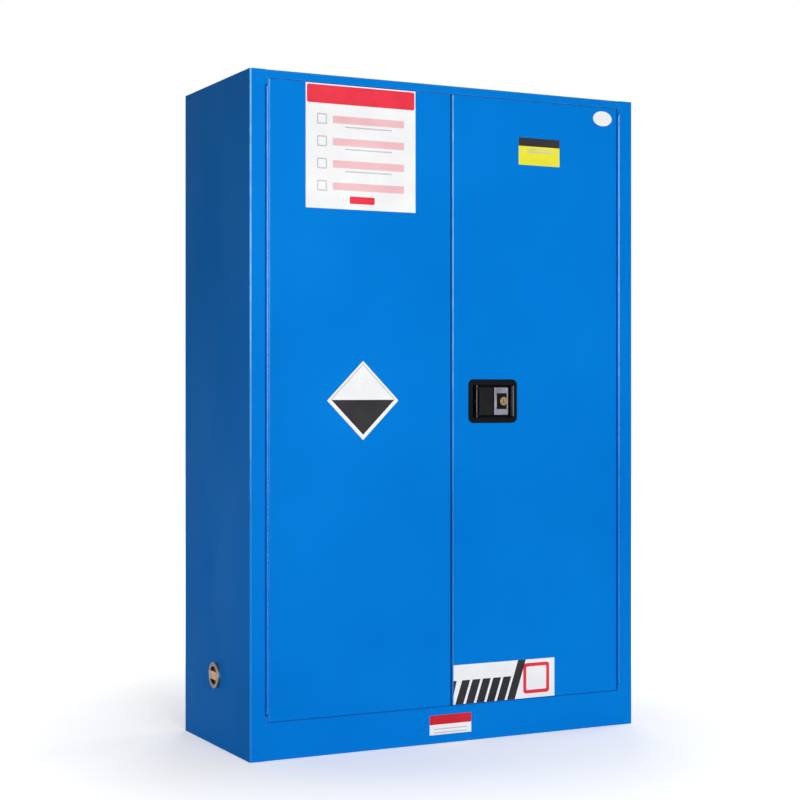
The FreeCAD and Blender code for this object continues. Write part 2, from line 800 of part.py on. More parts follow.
def front_sill():
    body = new_body("front_sill_sheet")
    path = [
        (jamb_back, opening_bottom),
        (front, opening_bottom),
        (front, as_size(0)),
        (front + dim.sill_flange, as_size(0)),
    ]
    radii = [dim.edge_radius, dim.edge_radius]
    folded_strip(body, "X", (-liner_side, liner_side), path, dim.sheet, radii)
    hole = cylinder(
        "front_sill_rod_hole",
        "Z",
        (bottom_rod_x, rod_y),
        (opening_bottom - 2 * dim.sheet, opening_bottom + dim.sheet),
        strike_radius,
    )
    return finish("front_sill", cut("front_sill", body, hole))


def liner_sides():
    """The inner side sheets, each with its front edge folded into the wall."""
    for name, side, vent_z in (
        ("liner_left", LEFT, low_vent),
        ("liner_right", RIGHT, high_vent),
    ):
        body = new_body(f"{name}_sheet")
        path = [
            (side * liner_side, liner_back_face),
            (side * liner_side, jamb_back),
            (side * (liner_side + dim.liner_flange), jamb_back),
        ]
        if side == LEFT:
            path = path[::-1]
        span = (dim.sheet, ceiling)
        folded_strip(body, "Z", span, path, dim.sheet, [dim.edge_radius])
        reach = sorted_span((side * (liner_side - dim.sheet), side * (liner_side + 2 * dim.sheet)))
        radius = dim.vent_tube / 2 + dim.vent_hole_play
        hole = cylinder(f"{name}_vent", "X", (as_size(0), vent_z), reach, radius)
        finish(name, cut(name, body, hole))


def liner_back():
    body = new_body("liner_back")
    sketch = new_sketch(body, "Y", liner_back_face + dim.sheet)
    reach = liner_side + dim.sheet
    rectangle(sketch, (-reach, reach), (dim.sheet, ceiling))
    pad(sketch, dim.sheet)
    return finish("liner_back", body)


def liner_top():
    """The ceiling, with its front edge folded up to the door head as the door stop."""
    body = new_body("liner_top")
    path = [
        (jamb_back, opening_top + dim.sheet),
        (jamb_back, ceiling),
        (liner_back_face + dim.sheet, ceiling),
    ]
    span = (-(liner_side + dim.sheet), liner_side + dim.sheet)
    folded_strip(body, "X", span, path, dim.sheet, [dim.edge_radius])
    return finish("liner_top", body)


def sump_tray():
    body = new_body("sump_tray")
    sketch = new_sketch(body, "Z", sump_floor)
    across, along = (-liner_side, liner_side), (jamb_back, liner_back_face)
    rectangle(sketch, across, along)
    pad(sketch, dim.sump_depth)
    corners = [(x, y) for x in across for y in along]
    round_edges(body, "Z", corners, dim.bend_radius)
    hollow(body, "Z", dim.sill_height, dim.sheet)
    return finish("sump_tray", body)


# Feet


def foot_places():
    """The corner, X and Y of each foot."""
    x, y = half_width - dim.foot_inset, back - dim.foot_inset
    return [
        (f"{depth}_{width}", side * x, end * y)
        for depth, end in (("front", FRONT), ("rear", REAR))
        for width, side in (("left", LEFT), ("right", RIGHT))
    ]


def levelling_feet():
    for corner, x, y in foot_places():
        name = f"levelling_foot_{corner}"
        pad_disc = cylinder(f"{name}_pad", "Z", (x, y), (as_size(0), dim.pad_height), dim.pad_diameter / 2)
        top = dim.pad_height + dim.stem_length
        stem = cylinder(f"{name}_stem", "Z", (x, y), (as_size(0), top), dim.stem_diameter / 2)
        finish(name, fuse(name, pad_disc, stem))


def foot_brackets():
    """Low channels welded into the base, each with the nut that a foot turns in."""
    low, top = dim.sheet, dim.pad_height + dim.bracket_gap
    plate_top = top + dim.bracket_thickness
    half = dim.bracket_size / 2
    brackets = []
    for corner, x, y in foot_places():
        name = f"foot_bracket_{corner}"
        along = (y - half, y + half)
        outer = box(f"{name}_block", (x - half, x + half), along, (low, plate_top))
        legs_inside = (x - half + dim.bracket_thickness, x + half - dim.bracket_thickness)
        space = box(f"{name}_space", legs_inside, along, (low, top))
        nut_span = (plate_top, plate_top + dim.foot_nut_height)
        nut = hexagon(f"{name}_nut", "Z", (x, y), nut_span, dim.foot_nut)
        bore_radius = dim.stem_diameter / 2 + dim.running_play
        bore = cylinder(f"{name}_bore", "Z", (x, y), (low, nut_span[1]), bore_radius)
        channel = cut(f"{name}_channel", outer, space)
        brackets.append(cut(name, fuse(f"{name}_solid", channel, nut), bore))
    return finish("foot_brackets", group("foot_brackets", brackets))


# Vents


def vent_collar(name, side, z):
    """A flanged sleeve through both walls."""
    body = new_body(name)
    outer, inner = half_width + dim.vent_proud, liner_side - dim.vent_inner_reach
    made_of = (
        (half_width, dim.vent_flange, pad),
        (inner, dim.vent_tube, pad),
        (inner, dim.vent_bore, pocket),
    )
    for end, diameter, made in made_of:
        low, high = sorted_span((side * end, side * outer))
        sketch = new_sketch(body, "X", low)
        circle(sketch, as_size(0), z, diameter / 2)
        made(sketch, high - low)
    round_face(body, "X", side * outer, dim.vent_flange_round)
    return finish(name, body)


def vent_cap(name, side, z):
    """A round plug that fits in the collar, with a bar between two finger recesses."""
    face = half_width + dim.vent_proud - dim.cap_sunk
    radius = dim.vent_bore / 2 - dim.running_play
    middle = (as_size(0), z)
    span = sorted_span((side * face, side * (face - dim.cap_length)))
    plug = cylinder(f"{name}_plug", "X", middle, span, radius)
    recess_span = sorted_span((side * face, side * (face - dim.cap_recess)))
    recess = cylinder(f"{name}_recess", "X", middle, recess_span, radius - dim.cap_wall)
    half_bar = dim.cap_bar_width / 2
    bar = box(f"{name}_bar", recess_span, (-radius, radius), (z - half_bar, z + half_bar))
    return finish(name, cut(name, plug, cut(f"{name}_recesses", recess, bar)))


def flame_arrester(name, side, z):
    """A thick disc with one hole in its middle and two rings of holes round it."""
    body = new_body(name)
    inner = side * liner_side
    outer = side * (liner_side + dim.arrester_length)
    low, high = sorted_span((inner, outer))
    bind(body, "Placement.Base.z", z)
    sketch = new_sketch(body, "X", low)
    circle(sketch, as_size(0), as_size(0), dim.vent_bore / 2 - dim.running_play)
    circle(sketch, as_size(0), as_size(0), dim.arrester_hole / 2)
    pad(sketch, high - low)
    for ring_number, count in ((1, 6), (2, 12)):
        sketch = new_sketch(body, "X", low)
        circle(sketch, dim.arrester_ring * ring_number, as_size(0), dim.arrester_hole / 2)
        hole = pocket(sketch, high - low)
        polar_pattern(hole, count)
    return body


def vents():
    sides = (("left", LEFT, low_vent), ("right", RIGHT, high_vent))
    for place, side, z in sides:
        vent_collar(f"vent_collar_{place}", side, z)
        vent_cap(f"vent_cap_{place}", side, z)
    discs = [flame_arrester(f"flame_arrester_{place}", side, z) for place, side, z in sides]
    finish("flame_arresters", group("flame_arresters", discs))


# Earthing stud


def earthing():
    place = ground_place()
    end = half_width + dim.ground_length
    inside = half_width - dim.sheet
    washer_end = half_width + dim.washer_thickness
    nut_end = washer_end + dim.ground_nut_height
    neck_end = nut_end + dim.ground_neck_length
    radius = dim.ground_diameter / 2
    shank = cylinder("ground_shank", "X", place, (inside, nut_end), radius)
    neck = cylinder("ground_neck", "X", place, (nut_end, neck_end), dim.ground_neck / 2)
    free_end = cylinder("ground_free_end", "X", place, (neck_end, end), radius)
    head_span = (inside - dim.ground_head_height, inside)
    head = cylinder("ground_head", "X", place, head_span, dim.ground_head / 2)
    finish("ground_stud", fuse("ground_stud", shank, neck, free_end, head))

    bore_radius = radius + dim.running_play
    bore = cylinder("ground_bore", "X", place, (half_width, nut_end), bore_radius)
    disc = cylinder("washer_disc", "X", place, (half_width, washer_end), dim.washer_diameter / 2)
    prism = hexagon("ground_nut_prism", "X", place, (washer_end, nut_end), dim.ground_nut)
    pieces = [cut("ground_washer", disc, bore), cut("ground_nut", prism, bore)]
    finish("ground_hardware", group("ground_hardware", pieces))


# Shelves


def slot_place(number):
    """The height of a slot of the standards."""
    return first_slot + number * dim.slot_pitch


def standard_places():
    """The name, side and middle of each shelf standard."""
    y = liner_back_face - dim.standard_inset
    return [
        (f"{depth}_{width}", side, end * y)
        for depth, end in (("front", FRONT), ("rear", REAR))
        for width, side in (("left", LEFT), ("right", RIGHT))
    ]


def shelf_standards():
    """Slotted channels on the liner's sides."""
    for corner, side, y in standard_places():
        name = f"shelf_standard_{corner}"
        body = new_body(name)
        half = dim.standard_width / 2
        path = [
            (side * liner_side, y - half),
            (side * standard_face, y - half),
            (side * standard_face, y + half),
            (side * liner_side, y + half),
        ]
        if side == RIGHT:
            path = path[::-1]
        radii = [dim.standard_bend] * 2
        span = (dim.standard_bottom, standard_top)
        folded_strip(body, "Z", span, path, dim.standard_sheet, radii)
        low, _ = sorted_span((side * standard_face, side * (standard_face + dim.standard_sheet)))
        sketch = new_sketch(body, "X", low)
        rectangle(
            sketch,
            (y - dim.slot_width / 2, y + dim.slot_width / 2),
            (first_slot - dim.slot_height / 2, first_slot + dim.slot_height / 2),
        )
        slot = pocket(sketch, dim.standard_sheet)
        count = whole((standard_top - dim.standard_bottom) / dim.slot_pitch)
        pattern(slot, "V_Axis", dim.slot_pitch, count)
        finish(name, body)


def shelf_hook(name, side, y, slot_z):
    """A hook with its tongue in a slot of the standard, and its ledge under the shelf."""

    def block(part, near, far, half, low, high):
        x = sorted_span((side * near, side * far))
        return box(f"{name}_{part}", x, (y - half, y + half), (slot_z + low, slot_z + high))

    half = dim.hook_width / 2
    half_tongue = dim.slot_width / 2 - dim.drive_play
    face = standard_face
    plate_face = face - dim.hook_sheet
    behind = face + dim.standard_sheet + dim.drive_play
    top, low = dim.hook_half_height, -dim.hook_half_height
    rise = dim.slot_height / 2 - dim.drive_play
    plate = block("plate", plate_face, face, half, low, top)
    ledge = block("ledge", plate_face - dim.hook_ledge, face, half, low, low + dim.hook_sheet)
    tongue = block("tongue", face - dim.hook_sheet, behind + dim.tongue_reach, half_tongue, 0, rise)
    lip = block("lip", behind, behind + dim.tongue_reach, half_tongue, -rise - dim.tongue_reach, rise)
    return fuse(name, plate, ledge, tongue, lip)


def shelf_hooks():
    hooks = [
        shelf_hook(f"hook_{level}_{corner}", side, y, slot_place(slot))
        for level, slot in (("lower", dim.lower_shelf_slot), ("upper", dim.upper_shelf_slot))
        for corner, side, y in standard_places()
    ]
    finish("shelf_hooks", group("shelf_hooks", hooks))


def shelf(name, slot):
    """A tray with its flanges turned down, and drain holes along its rear edge."""
    body = new_body(name)
    low = slot_place(slot) - dim.hook_half_height + dim.hook_sheet
    high = low + dim.shelf_height
    across, along = (-shelf_half_width, shelf_half_width), (shelf_front, shelf_back)
    sketch = new_sketch(body, "Z", low)
    rectangle(sketch, across, along)
    pad(sketch, dim.shelf_height)
    round_edges(body, "Z", [(x, y) for x in across for y in along], dim.bend_radius)
    hollow(body, "Z", low, dim.sheet)
    count = whole((shelf_half_width - dim.drain_inset) / dim.drain_pitch) * 2 + 1
    sketch = new_sketch(body, "Z", high - dim.sheet)
    first = -(count - 1) / 2 * dim.drain_pitch
    circle(sketch, first, shelf_back - dim.drain_inset, dim.drain_diameter / 2)
    drain = pocket(sketch, dim.sheet)
    pattern(drain, "H_Axis", dim.drain_pitch, count)
    return finish(name, body)


# Hinges


def hinge_leaf(name, side, first_cut, cut_count):
    """A hinge leaf with rolled knuckles. side is -1 where the leaf lies left of the axis.

    first_cut counts the knuckles below the first one that the other leaf has.
    """
    body = new_body(name)
    axis_x = -hinge_x
    outer, inner = knuckle_radius, knuckle_radius - dim.leaf_thickness
    meeting = math.sqrt(float(outer) ** 2 - float(inner) ** 2)
    leaf_back = hinge_y + dim.leaf_depth
    near = FreeCAD.Vector(float(axis_x + side * outer), float(hinge_y), 0)
    near_back = FreeCAD.Vector(near.x, float(leaf_back), 0)
    far = FreeCAD.Vector(float(axis_x + side * inner), near.y + meeting, 0)
    far_back = FreeCAD.Vector(far.x, float(leaf_back), 0)
    centre = FreeCAD.Vector(float(axis_x), float(hinge_y), 0)
    up = FreeCAD.Vector(0, 0, 1)

    sketch = new_sketch(body, "Z", hinge_bottom)
    sketch.addGeometry(Part.LineSegment(near, near_back), False)
    sketch.addGeometry(Part.LineSegment(near_back, far_back), False)
    sketch.addGeometry(Part.LineSegment(far_back, far), False)
    near_angle = math.pi if side == LEFT else 0
    far_angle = math.atan2(meeting, side * float(inner))
    if side == LEFT:
        start, end, near_end, far_end = near_angle, far_angle + 2 * math.pi, 1, 2
    else:
        start, end, near_end, far_end = far_angle, near_angle + 2 * math.pi, 2, 1
    roll = Part.Circle(centre, up, float(outer))
    sketch.addGeometry(Part.ArcOfCircle(roll, start, end), False)
    sketch.addGeometry(Part.Circle(centre, up, float(inner)), False)
    for constraint in (
        ("Coincident", 0, 2, 1, 1),
        ("Coincident", 1, 2, 2, 1),
        ("Coincident", 2, 2, 3, far_end),
        ("Coincident", 3, near_end, 0, 1),
        ("Coincident", 4, 3, 3, 3),
        ("Vertical", 0),
        ("Horizontal", 1),
        ("Vertical", 2),
    ):
        sketch.addConstraint(Sketcher.Constraint(*constraint))
    hold(sketch, "DistanceX", (-1, 1, 3, 3), axis_x)
    hold(sketch, "DistanceY", (-1, 1, 3, 3), hinge_y)
    hold(sketch, "Radius", (3,), outer)
    hold(sketch, "Radius", (4,), inner)
    hold(sketch, "DistanceY", (-1, 1, 0, 1), hinge_y)
    hold(sketch, "DistanceY", (-1, 1, 0, 2), leaf_back)
    hold(sketch, "DistanceX", (-1, 1, 1, 2), axis_x + side * inner)
    pad(sketch, hinge_length)

    notch_bottom = hinge_bottom + first_cut * dim.knuckle_pitch - dim.knuckle_gap / 2
    sketch = new_sketch(body, "Z", notch_bottom)
    reach = knuckle_radius + dim.knuckle_gap
    rectangle(sketch, (axis_x - reach, axis_x + reach), (hinge_y - reach, hinge_y + reach))
    notch = pocket(sketch, dim.knuckle_pitch + dim.knuckle_gap)
    pattern(notch, "N_Axis", 2 * dim.knuckle_pitch, cut_count)
    return body


def hinges():
    """Two continuous hinges. The frame leaves hold the even knuckles, counted from the foot."""
    frame_cuts = whole(knuckle_count / 2)
    door_cuts = whole((knuckle_count + 1) / 2)
    frame_leaf = finish("left_hinge_frame_leaf", hinge_leaf("left_hinge_frame_leaf", LEFT, 1, frame_cuts))
    door_leaf = finish("left_hinge_door_leaf", hinge_leaf("left_hinge_door_leaf", RIGHT, 0, door_cuts))
    finish("right_hinge_frame_leaf", mirrored("right_hinge_frame_leaf", frame_leaf))
    finish("right_hinge_door_leaf", mirrored("right_hinge_door_leaf", door_leaf))
    radius = knuckle_radius - dim.leaf_thickness - dim.hinge_play
    for place, side in (("left", LEFT), ("right", RIGHT)):
        name = f"{place}_hinge_pin"
        pin = cylinder(name, "Z", (side * hinge_x, hinge_y), (hinge_bottom, hinge_top), radius)
        finish(name, pin)


# Doors


def rod_holes(name, low_reach, high_reach):
    """Cutters for the lock rods at the lower and upper edge of the right door."""
    return [
        cylinder(f"{name}_top_rod", "Z", (top_rod_x, rod_y), high_reach, rod_radius + dim.rod_play),
        cylinder(f"{name}_low_rod", "Z", (bottom_rod_x, rod_y), low_reach, rod_radius + dim.rod_play),
    ]


def bolt_slot(name, side):
    """A cutter for the centre bolt through the free edge of a door."""
    half = dim.bolt_height / 2 + dim.rod_play
    edge = side * dim.door_clearance
    return box(
        f"{name}_bolt_slot",
        (edge - 2 * dim.sheet, edge + 2 * dim.sheet),
        (bolt_front - dim.rod_play, bolt_back + dim.rod_play),
        (handle_z - half, handle_z + half),
    )


def dish_opening():
    """A cutter for the handle dish in the front of the right door."""
    margin = dim.dish_wall + dim.dish_fit
    across, upright = round_recess(margin, margin, margin)
    return box("dish_opening", across, (front - dim.sheet, front + 2 * dim.sheet), upright)


def round_recess(left, right, end):
    """A rectangle round the recess of the dish by its margins, as spans along X and Z."""
    half = dim.recess_height / 2 + end
    return (dish_left - left, dish_right + right), (handle_z - half, handle_z + half)


def door_skin(name, side):
    """The outer sheet of a door, folded back on all four sides."""
    body = new_body(f"{name}_sheet")
    across = sorted_span((side * dim.door_clearance, side * door_hinge_edge))
    upright = (door_bottom, door_top)
    sketch = new_sketch(body, "Y", door_back)
    rectangle(sketch, across, upright)
    pad(sketch, wall)
    round_edges(body, "Z", [(x, front) for x in across], dim.bend_radius)
    round_edges(body, "X", [(front, z) for z in upright], dim.edge_radius)
    hollow(body, "Y", door_back, dim.sheet)
    tools = [bolt_slot(name, side)]
    if side == RIGHT:
        reach = 2 * dim.sheet
        low, high = (door_bottom - reach, door_bottom + reach), (door_top - reach, door_top + reach)
        tools += [dish_opening(), *rod_holes(name, low, high)]
    return finish(name, cut(name, body, *tools))


def inner_pan(name, side):
    """The inner sheet of a door, which closes the outer one from behind."""
    body = new_body(f"{name}_sheet")
    edge, hinge = dim.door_clearance + dim.sheet, door_hinge_edge - dim.sheet
    across = sorted_span((side * edge, side * hinge))
    upright = (door_bottom + dim.sheet, door_top - dim.sheet)
    sketch = new_sketch(body, "Y", door_back)
    rectangle(sketch, across, upright)
    pad(sketch, dim.pan_flange)
    hollow(body, "Y", door_back - dim.pan_flange, dim.sheet)
    if side == LEFT:
        return finish(name, body)
    reach = 4 * dim.sheet
    low, high = (door_bottom - reach, door_bottom + reach), (door_top - reach, door_top + reach)
    return finish(name, cut(name, body, *rod_holes(name, low, high)))


def centre_strike():
    """The plate behind the left door's free edge that takes the centre bolt."""
    edge = -dim.door_clearance - dim.sheet
    half = dim.bolt_height / 2 + dim.rod_play
    plate = box(
        "centre_strike_plate",
        (edge - dim.strike_thickness, edge),
        (bolt_front - dim.strike_margin, door_back - dim.pan_flange),
        (handle_z - half - dim.strike_margin, handle_z + half + dim.strike_margin),
    )
    slot = box(
        "centre_strike_slot",
        (edge - 2 * dim.strike_thickness, edge + dim.sheet),
        (bolt_front - dim.rod_play, bolt_back + dim.rod_play),
        (handle_z - half, handle_z + half),
    )
    return finish("centre_strike", cut("centre_strike", plate, slot))


def strike_plate(name, x, low, high):
    """A plate in the carcass with the hole for a lock rod."""
    reach = strike_radius + dim.strike_margin
    plate = box(
        f"{name}_plate",
        (x - reach, x + reach),
        (rod_y - reach, jamb_back - dim.sheet),
        (low, high),
    )
    hole = cylinder(f"{name}_hole", "Z", (x, rod_y), (low, high), strike_radius)
    return finish(name, cut(name, plate, hole))


def strike_plates():
    above = opening_top + dim.sheet
    strike_plate("top_strike_plate", top_rod_x, above, above + dim.strike_thickness)
    below = opening_bottom - dim.sheet
    strike_plate("bottom_strike_plate", bottom_rod_x, below - dim.strike_thickness, below)


# Handle


def handle_dish():
    """The recessed dish, with the bores of the paddle pin and the slots of tail and cam."""
    body = new_body("handle_dish_body")
    rim = round_recess(dim.rim_pin_side, dim.rim_lock_side, dim.rim_end)
    outside = round_recess(dim.dish_wall, dim.dish_wall, dim.dish_wall)
    recess = round_recess(0, 0, 0)
    for place, (across, upright), depth, made, corner in (
        (front, rim, dim.dish_lip, pad, dim.dish_corner),
        (dish_back, outside, dish_back - front, pad, None),
        (dish_floor, recess, dim.dish_depth, pocket, dim.dish_recess_corner),
    ):
        sketch = new_sketch(body, "Y", place)
        rectangle(sketch, across, upright)
        made(sketch, depth)
        if corner is not None:
            round_edges(body, "Y", [(x, z) for x in across for z in upright], corner)
    round_face(body, "Y", rim_face, dim.dish_rim_round)

    _, pin_span = round_recess(0, 0, 2 * dim.dish_wall)
    pin_radius = dim.pivot_diameter / 2 + dim.running_play
    pin_bore = cylinder("dish_pin_bore", "Z", (paddle_x, paddle_y), pin_span, pin_radius)
    tail_half = dim.tail_height / 2 + dim.slot_margin
    tail_side = slot_radius + dim.slot_margin
    tail_slot = box(
        "dish_tail_slot",
        (paddle_x - tail_side, paddle_x + throw + tail_side),
        (dish_floor - dim.dish_wall, dish_back + dim.dish_wall),
        (handle_z - tail_half, handle_z + tail_half),
    )
    # The cam comes up from below, so its slot reaches further down than up.
    cam_slot = box(
        "dish_cam_slot",
        (dish_right - dim.dish_wall, dish_right + 2 * dim.dish_wall),
        (plug_back - dim.latch_gap, cam_back + dim.latch_gap),
        (handle_z - 2 * dim.cam_width, handle_z + dim.cam_width),
    )
    return finish("handle_dish", cut("handle_dish", body, pin_bore, tail_slot, cam_slot))


def cam_strike():
    """The bright strip on the dish's side wall, in front of the locked cam."""
    half = dim.cam_strike_height / 2
    strip = box(
        "cam_strike",
        (dish_right - dim.cam_strike_thickness, dish_right),
        (paddle_face, plug_back - 2 * dim.latch_gap),
        (handle_z - half, handle_z + half),
    )
    return finish("cam_strike", strip)


def dish_clamps():
    """Blocks on the dish's outer walls that hold the door skin against the rim."""
    clamps = []
    skin_back = front + dim.sheet
    wall_top = dim.recess_height / 2 + dim.dish_wall
    for level, way in (("low", -1), ("high", 1)):
        for place, side in (("left", LEFT), ("right", RIGHT)):
            x = dim.handle_offset + side * dim.clamp_spacing / 2
            upright = (handle_z + way * wall_top, handle_z + way * (wall_top + dim.clamp_height))
            clamps.append(
                box(
                    f"dish_clamp_{level}_{place}",
                    (x - dim.clamp_width / 2, x + dim.clamp_width / 2),
                    (skin_back, skin_back + dim.clamp_thickness),
                    sorted_span(upright),
                )
            )
    finish("dish_clamps", group("dish_clamps", clamps))


def paddle_pin():
    _, span = round_recess(0, 0, dim.dish_wall)
    pin = cylinder("paddle_pin", "Z", (paddle_x, paddle_y), span, dim.pivot_diameter / 2)
    return finish("paddle_pin", pin)


def paddle():
    """The pull handle: grip, carrier for the lock, two ears on the pin, and the tail behind."""
    grip_left = paddle_x + dim.grip_edge
    grip_right = paddle_free_edge - dim.housing_width - dim.grip_groove
    carrier_front = paddle_face + dim.housing_thickness
    upright = (paddle_low, paddle_high)
    grip = new_body("paddle_grip")
    sketch = new_sketch(grip, "Z", paddle_low)
    rectangle(sketch, (grip_left, grip_right), (paddle_face, paddle_back))
    pad(sketch, dim.paddle_height)
    round_edges(grip, "Z", [(grip_left, paddle_face)], dim.grip_round)
    carrier_back = carrier_front + dim.carrier_thickness
    carrier_left = grip_right - dim.cheek_overlap
    carrier = box(
        "paddle_carrier", (carrier_left, paddle_free_edge), (carrier_front, carrier_back), upright
    )
    pieces = [grip, carrier]
    for place, low in (("low", paddle_low), ("high", paddle_high - dim.ear_height)):
        span = (low, low + dim.ear_height)
        ear_middle = (paddle_x, paddle_y)
        pieces.append(cylinder(f"paddle_ear_{place}", "Z", ear_middle, span, dim.ear_radius))
        cheek = box(
            f"paddle_cheek_{place}",
            (paddle_x, grip_left + dim.cheek_overlap),
            (paddle_y - dim.ear_radius, paddle_y + dim.ear_radius),
            span,
        )
        pieces.append(cheek)
    half_tail = dim.tail_height / 2
    tail_upright = (handle_z - half_tail, handle_z + half_tail)
    web_front = paddle_y + dim.pivot_diameter / 2 + dim.latch_gap
    web_back = web_front + dim.tail_thickness
    half_neck = dim.tail_thickness / 2
    root = grip_left + dim.tail_root
    web = box("paddle_web", (paddle_x - half_neck, root), (web_front, web_back), tail_upright)
    grip_middle = middle_of(paddle_face, paddle_back)
    riser_left = root - dim.tail_thickness
    riser = box("paddle_riser", (riser_left, root), (grip_middle, web_back), tail_upright)
    tip = paddle_y + dim.throw_radius
    neck = box("paddle_neck", (paddle_x - half_neck, paddle_x + half_neck), (web_front, tip), tail_upright)
    finger = cylinder("paddle_finger", "Z", (paddle_x, tip), tail_upright, drive_radius)
    pieces += [web, riser, neck, finger]
    notch_x = grip_left + dim.grip_notch_width
    notch = box(
        "paddle_notch",
        (notch_x - dim.grip_notch_width / 2, notch_x + dim.grip_notch_width / 2),
        (paddle_face - dim.grip_notch_depth, paddle_face + dim.grip_notch_depth),
        (handle_z - dim.grip_notch_height / 2, handle_z + dim.grip_notch_height / 2),
    )
    pin_radius = dim.pivot_diameter / 2 + dim.running_play
    pin_bore = cylinder("paddle_pin_bore", "Z", (paddle_x, paddle_y), upright, pin_radius)
    plug_radius = dim.plug_diameter / 2 + dim.running_play
    plug_bore = cylinder(
        "paddle_plug_bore", "Y", (plug_x, handle_z), (paddle_face, carrier_back), plug_radius
    )
    solid = fuse("paddle_solid", *pieces)
    return finish("paddle", cut("paddle", solid, notch, pin_bore, plug_bore))


def lock_housing():
    """The housing on the paddle, with a sunk window round the key plug."""
    left = paddle_free_edge - dim.housing_width
    lock_back = paddle_face + dim.housing_thickness
    upright = (paddle_low, paddle_high)
    block = new_body("lock_housing_block")
    sketch = new_sketch(block, "Y", lock_back)
    rectangle(sketch, (left, paddle_free_edge), upright)
    pad(sketch, dim.housing_thickness)
    round_edges(block, "Y", [(paddle_free_edge, z) for z in upright], dim.housing_corner)
    round_face(block, "Y", paddle_face, dim.housing_edge)
    window_right = paddle_free_edge - dim.window_edge
    half = dim.window_height / 2
    window = box(
        "lock_housing_window",
        (window_right - dim.window_width, window_right),
        (paddle_face - dim.window_depth, paddle_face + dim.window_depth),
        (handle_z - half, handle_z + half),
    )
    radius = dim.plug_diameter / 2 + dim.running_play
    bore = cylinder("lock_housing_bore", "Y", (plug_x, handle_z), (paddle_face, lock_back), radius)
    return finish("lock_housing", cut("lock_housing", block, window, bore))


def key_plug():
    radius = dim.plug_diameter / 2
    barrel = cylinder("key_plug_barrel", "Y", (plug_x, handle_z), (paddle_face, plug_back), radius)
    tail_span = (paddle_face + dim.key_slot_depth, cam_back + dim.stud_end)
    tail = cylinder("key_plug_tail", "Y", (plug_x, handle_z), tail_span, dim.plug_tail / 2)
    half_width_of_slot = dim.key_slot_width / 2
    half_height = dim.key_slot_height / 2
    slot = box(
        "key_plug_slot",
        (plug_x - half_width_of_slot, plug_x + half_width_of_slot),
        (paddle_face - dim.key_slot_depth, paddle_face + dim.key_slot_depth),
        (handle_z - half_height, handle_z + half_height),
    )
    return finish("key_plug", cut("key_plug", fuse("key_plug_solid", barrel, tail), slot))


def lock_cam():
    """The tongue on the key plug. It hangs down unlocked, and reaches the dish wall locked."""
    reach = dish_right + dim.dish_wall + dim.cam_grip - plug_x
    half = dim.cam_width / 2
    span = (plug_back, cam_back)
    tongue = box("lock_cam_tongue", (plug_x - half, plug_x + half), span, (handle_z - reach, handle_z))
    boss = cylinder("lock_cam_boss", "Y", (plug_x, handle_z), span, half)
    radius = dim.plug_tail / 2 + dim.running_play
    bore = cylinder("lock_cam_bore", "Y", (plug_x, handle_z), span, radius)
    return finish("lock_cam", cut("lock_cam", fuse("lock_cam_solid", tongue, boss), bore))


# Latch


def latch_pivot():
    """The stud on the back of the dish that the rotor turns on, with its clip."""
    clip_front = rotor_back + dim.latch_gap / 2
    clip_span = (clip_front, clip_front + dim.clip_thickness)
    stud_span = (dish_back, clip_span[1] + dim.stud_end)
    stud = cylinder("latch_pivot_stud", "Y", (rotor_x, handle_z), stud_span, dim.stud_diameter / 2)
    clip = cylinder("latch_pivot_clip", "Y", (rotor_x, handle_z), clip_span, dim.clip_diameter / 2)
    return finish("latch_pivot", fuse("latch_pivot", stud, clip))


def centre_bolt():
    """The sliding bolt: a bar with a slot for the tail, one for the pivot and one for the rotor."""
    span = (bolt_front, bolt_back)
    half = dim.bolt_height / 2
    tip = dim.door_clearance + dim.retracted_depth - throw
    bar = box("bolt_bar", (tip, rotor_x + dim.bolt_tail), span, (handle_z - half, handle_z + half))
    arm_top = handle_z + dim.throw_radius + slot_radius + dim.rod_edge
    half_arm = dim.arm_width / 2
    arm = box("bolt_arm", (rotor_x - half_arm, rotor_x + half_arm), span, (handle_z, arm_top))
    half_tail = dim.tail_height / 2 + dim.rod_play
    tail_slot = box(
        "bolt_tail_slot",
        (paddle_x - slot_radius, paddle_x + slot_radius),
        span,
        (handle_z - half_tail, handle_z + half_tail),
    )
    stud_radius = dim.stud_diameter / 2 + dim.drive_play
    pivot_slot = box(
        "bolt_pivot_slot",
        (rotor_x - throw - stud_radius, rotor_x + stud_radius),
        span,
        (handle_z - stud_radius, handle_z + stud_radius),
    )
    pin_low = handle_z + dim.throw_radius - throw_sag
    rotor_slot = box(
        "bolt_rotor_slot",
        (rotor_x - slot_radius, rotor_x + slot_radius),
        span,
        (pin_low - slot_radius, handle_z + dim.throw_radius + slot_radius),
    )
    solid = fuse("bolt_solid", bar, arm)
    return finish("centre_bolt", cut("centre_bolt", solid, tail_slot, pivot_slot, rotor_slot))


def latch_rotor():
    """The disc that carries one pin for the bolt and two for the rods."""
    disc = cylinder(
        "rotor_disc", "Y", (rotor_x, handle_z), (rotor_front, rotor_back), dim.rotor_diameter / 2
    )
    pins = [
        ("bolt", rotor_x, handle_z + dim.throw_radius, (bolt_front, rotor_back)),
        ("top", top_rod_x, handle_z, (rotor_front, head_back)),
        ("bottom", bottom_rod_x, handle_z, (rotor_front, head_back)),
    ]
    pieces = [disc]
    for place, x, z, span in pins:
        pieces.append(cylinder(f"rotor_{place}_pin", "Y", (x, z), span, drive_radius))
    radius = dim.stud_diameter / 2 + dim.running_play
    bore = cylinder("rotor_bore", "Y", (rotor_x, handle_z), (rotor_front, rotor_back), radius)
    return finish("latch_rotor", cut("latch_rotor", fuse("rotor_solid", *pieces), bore))


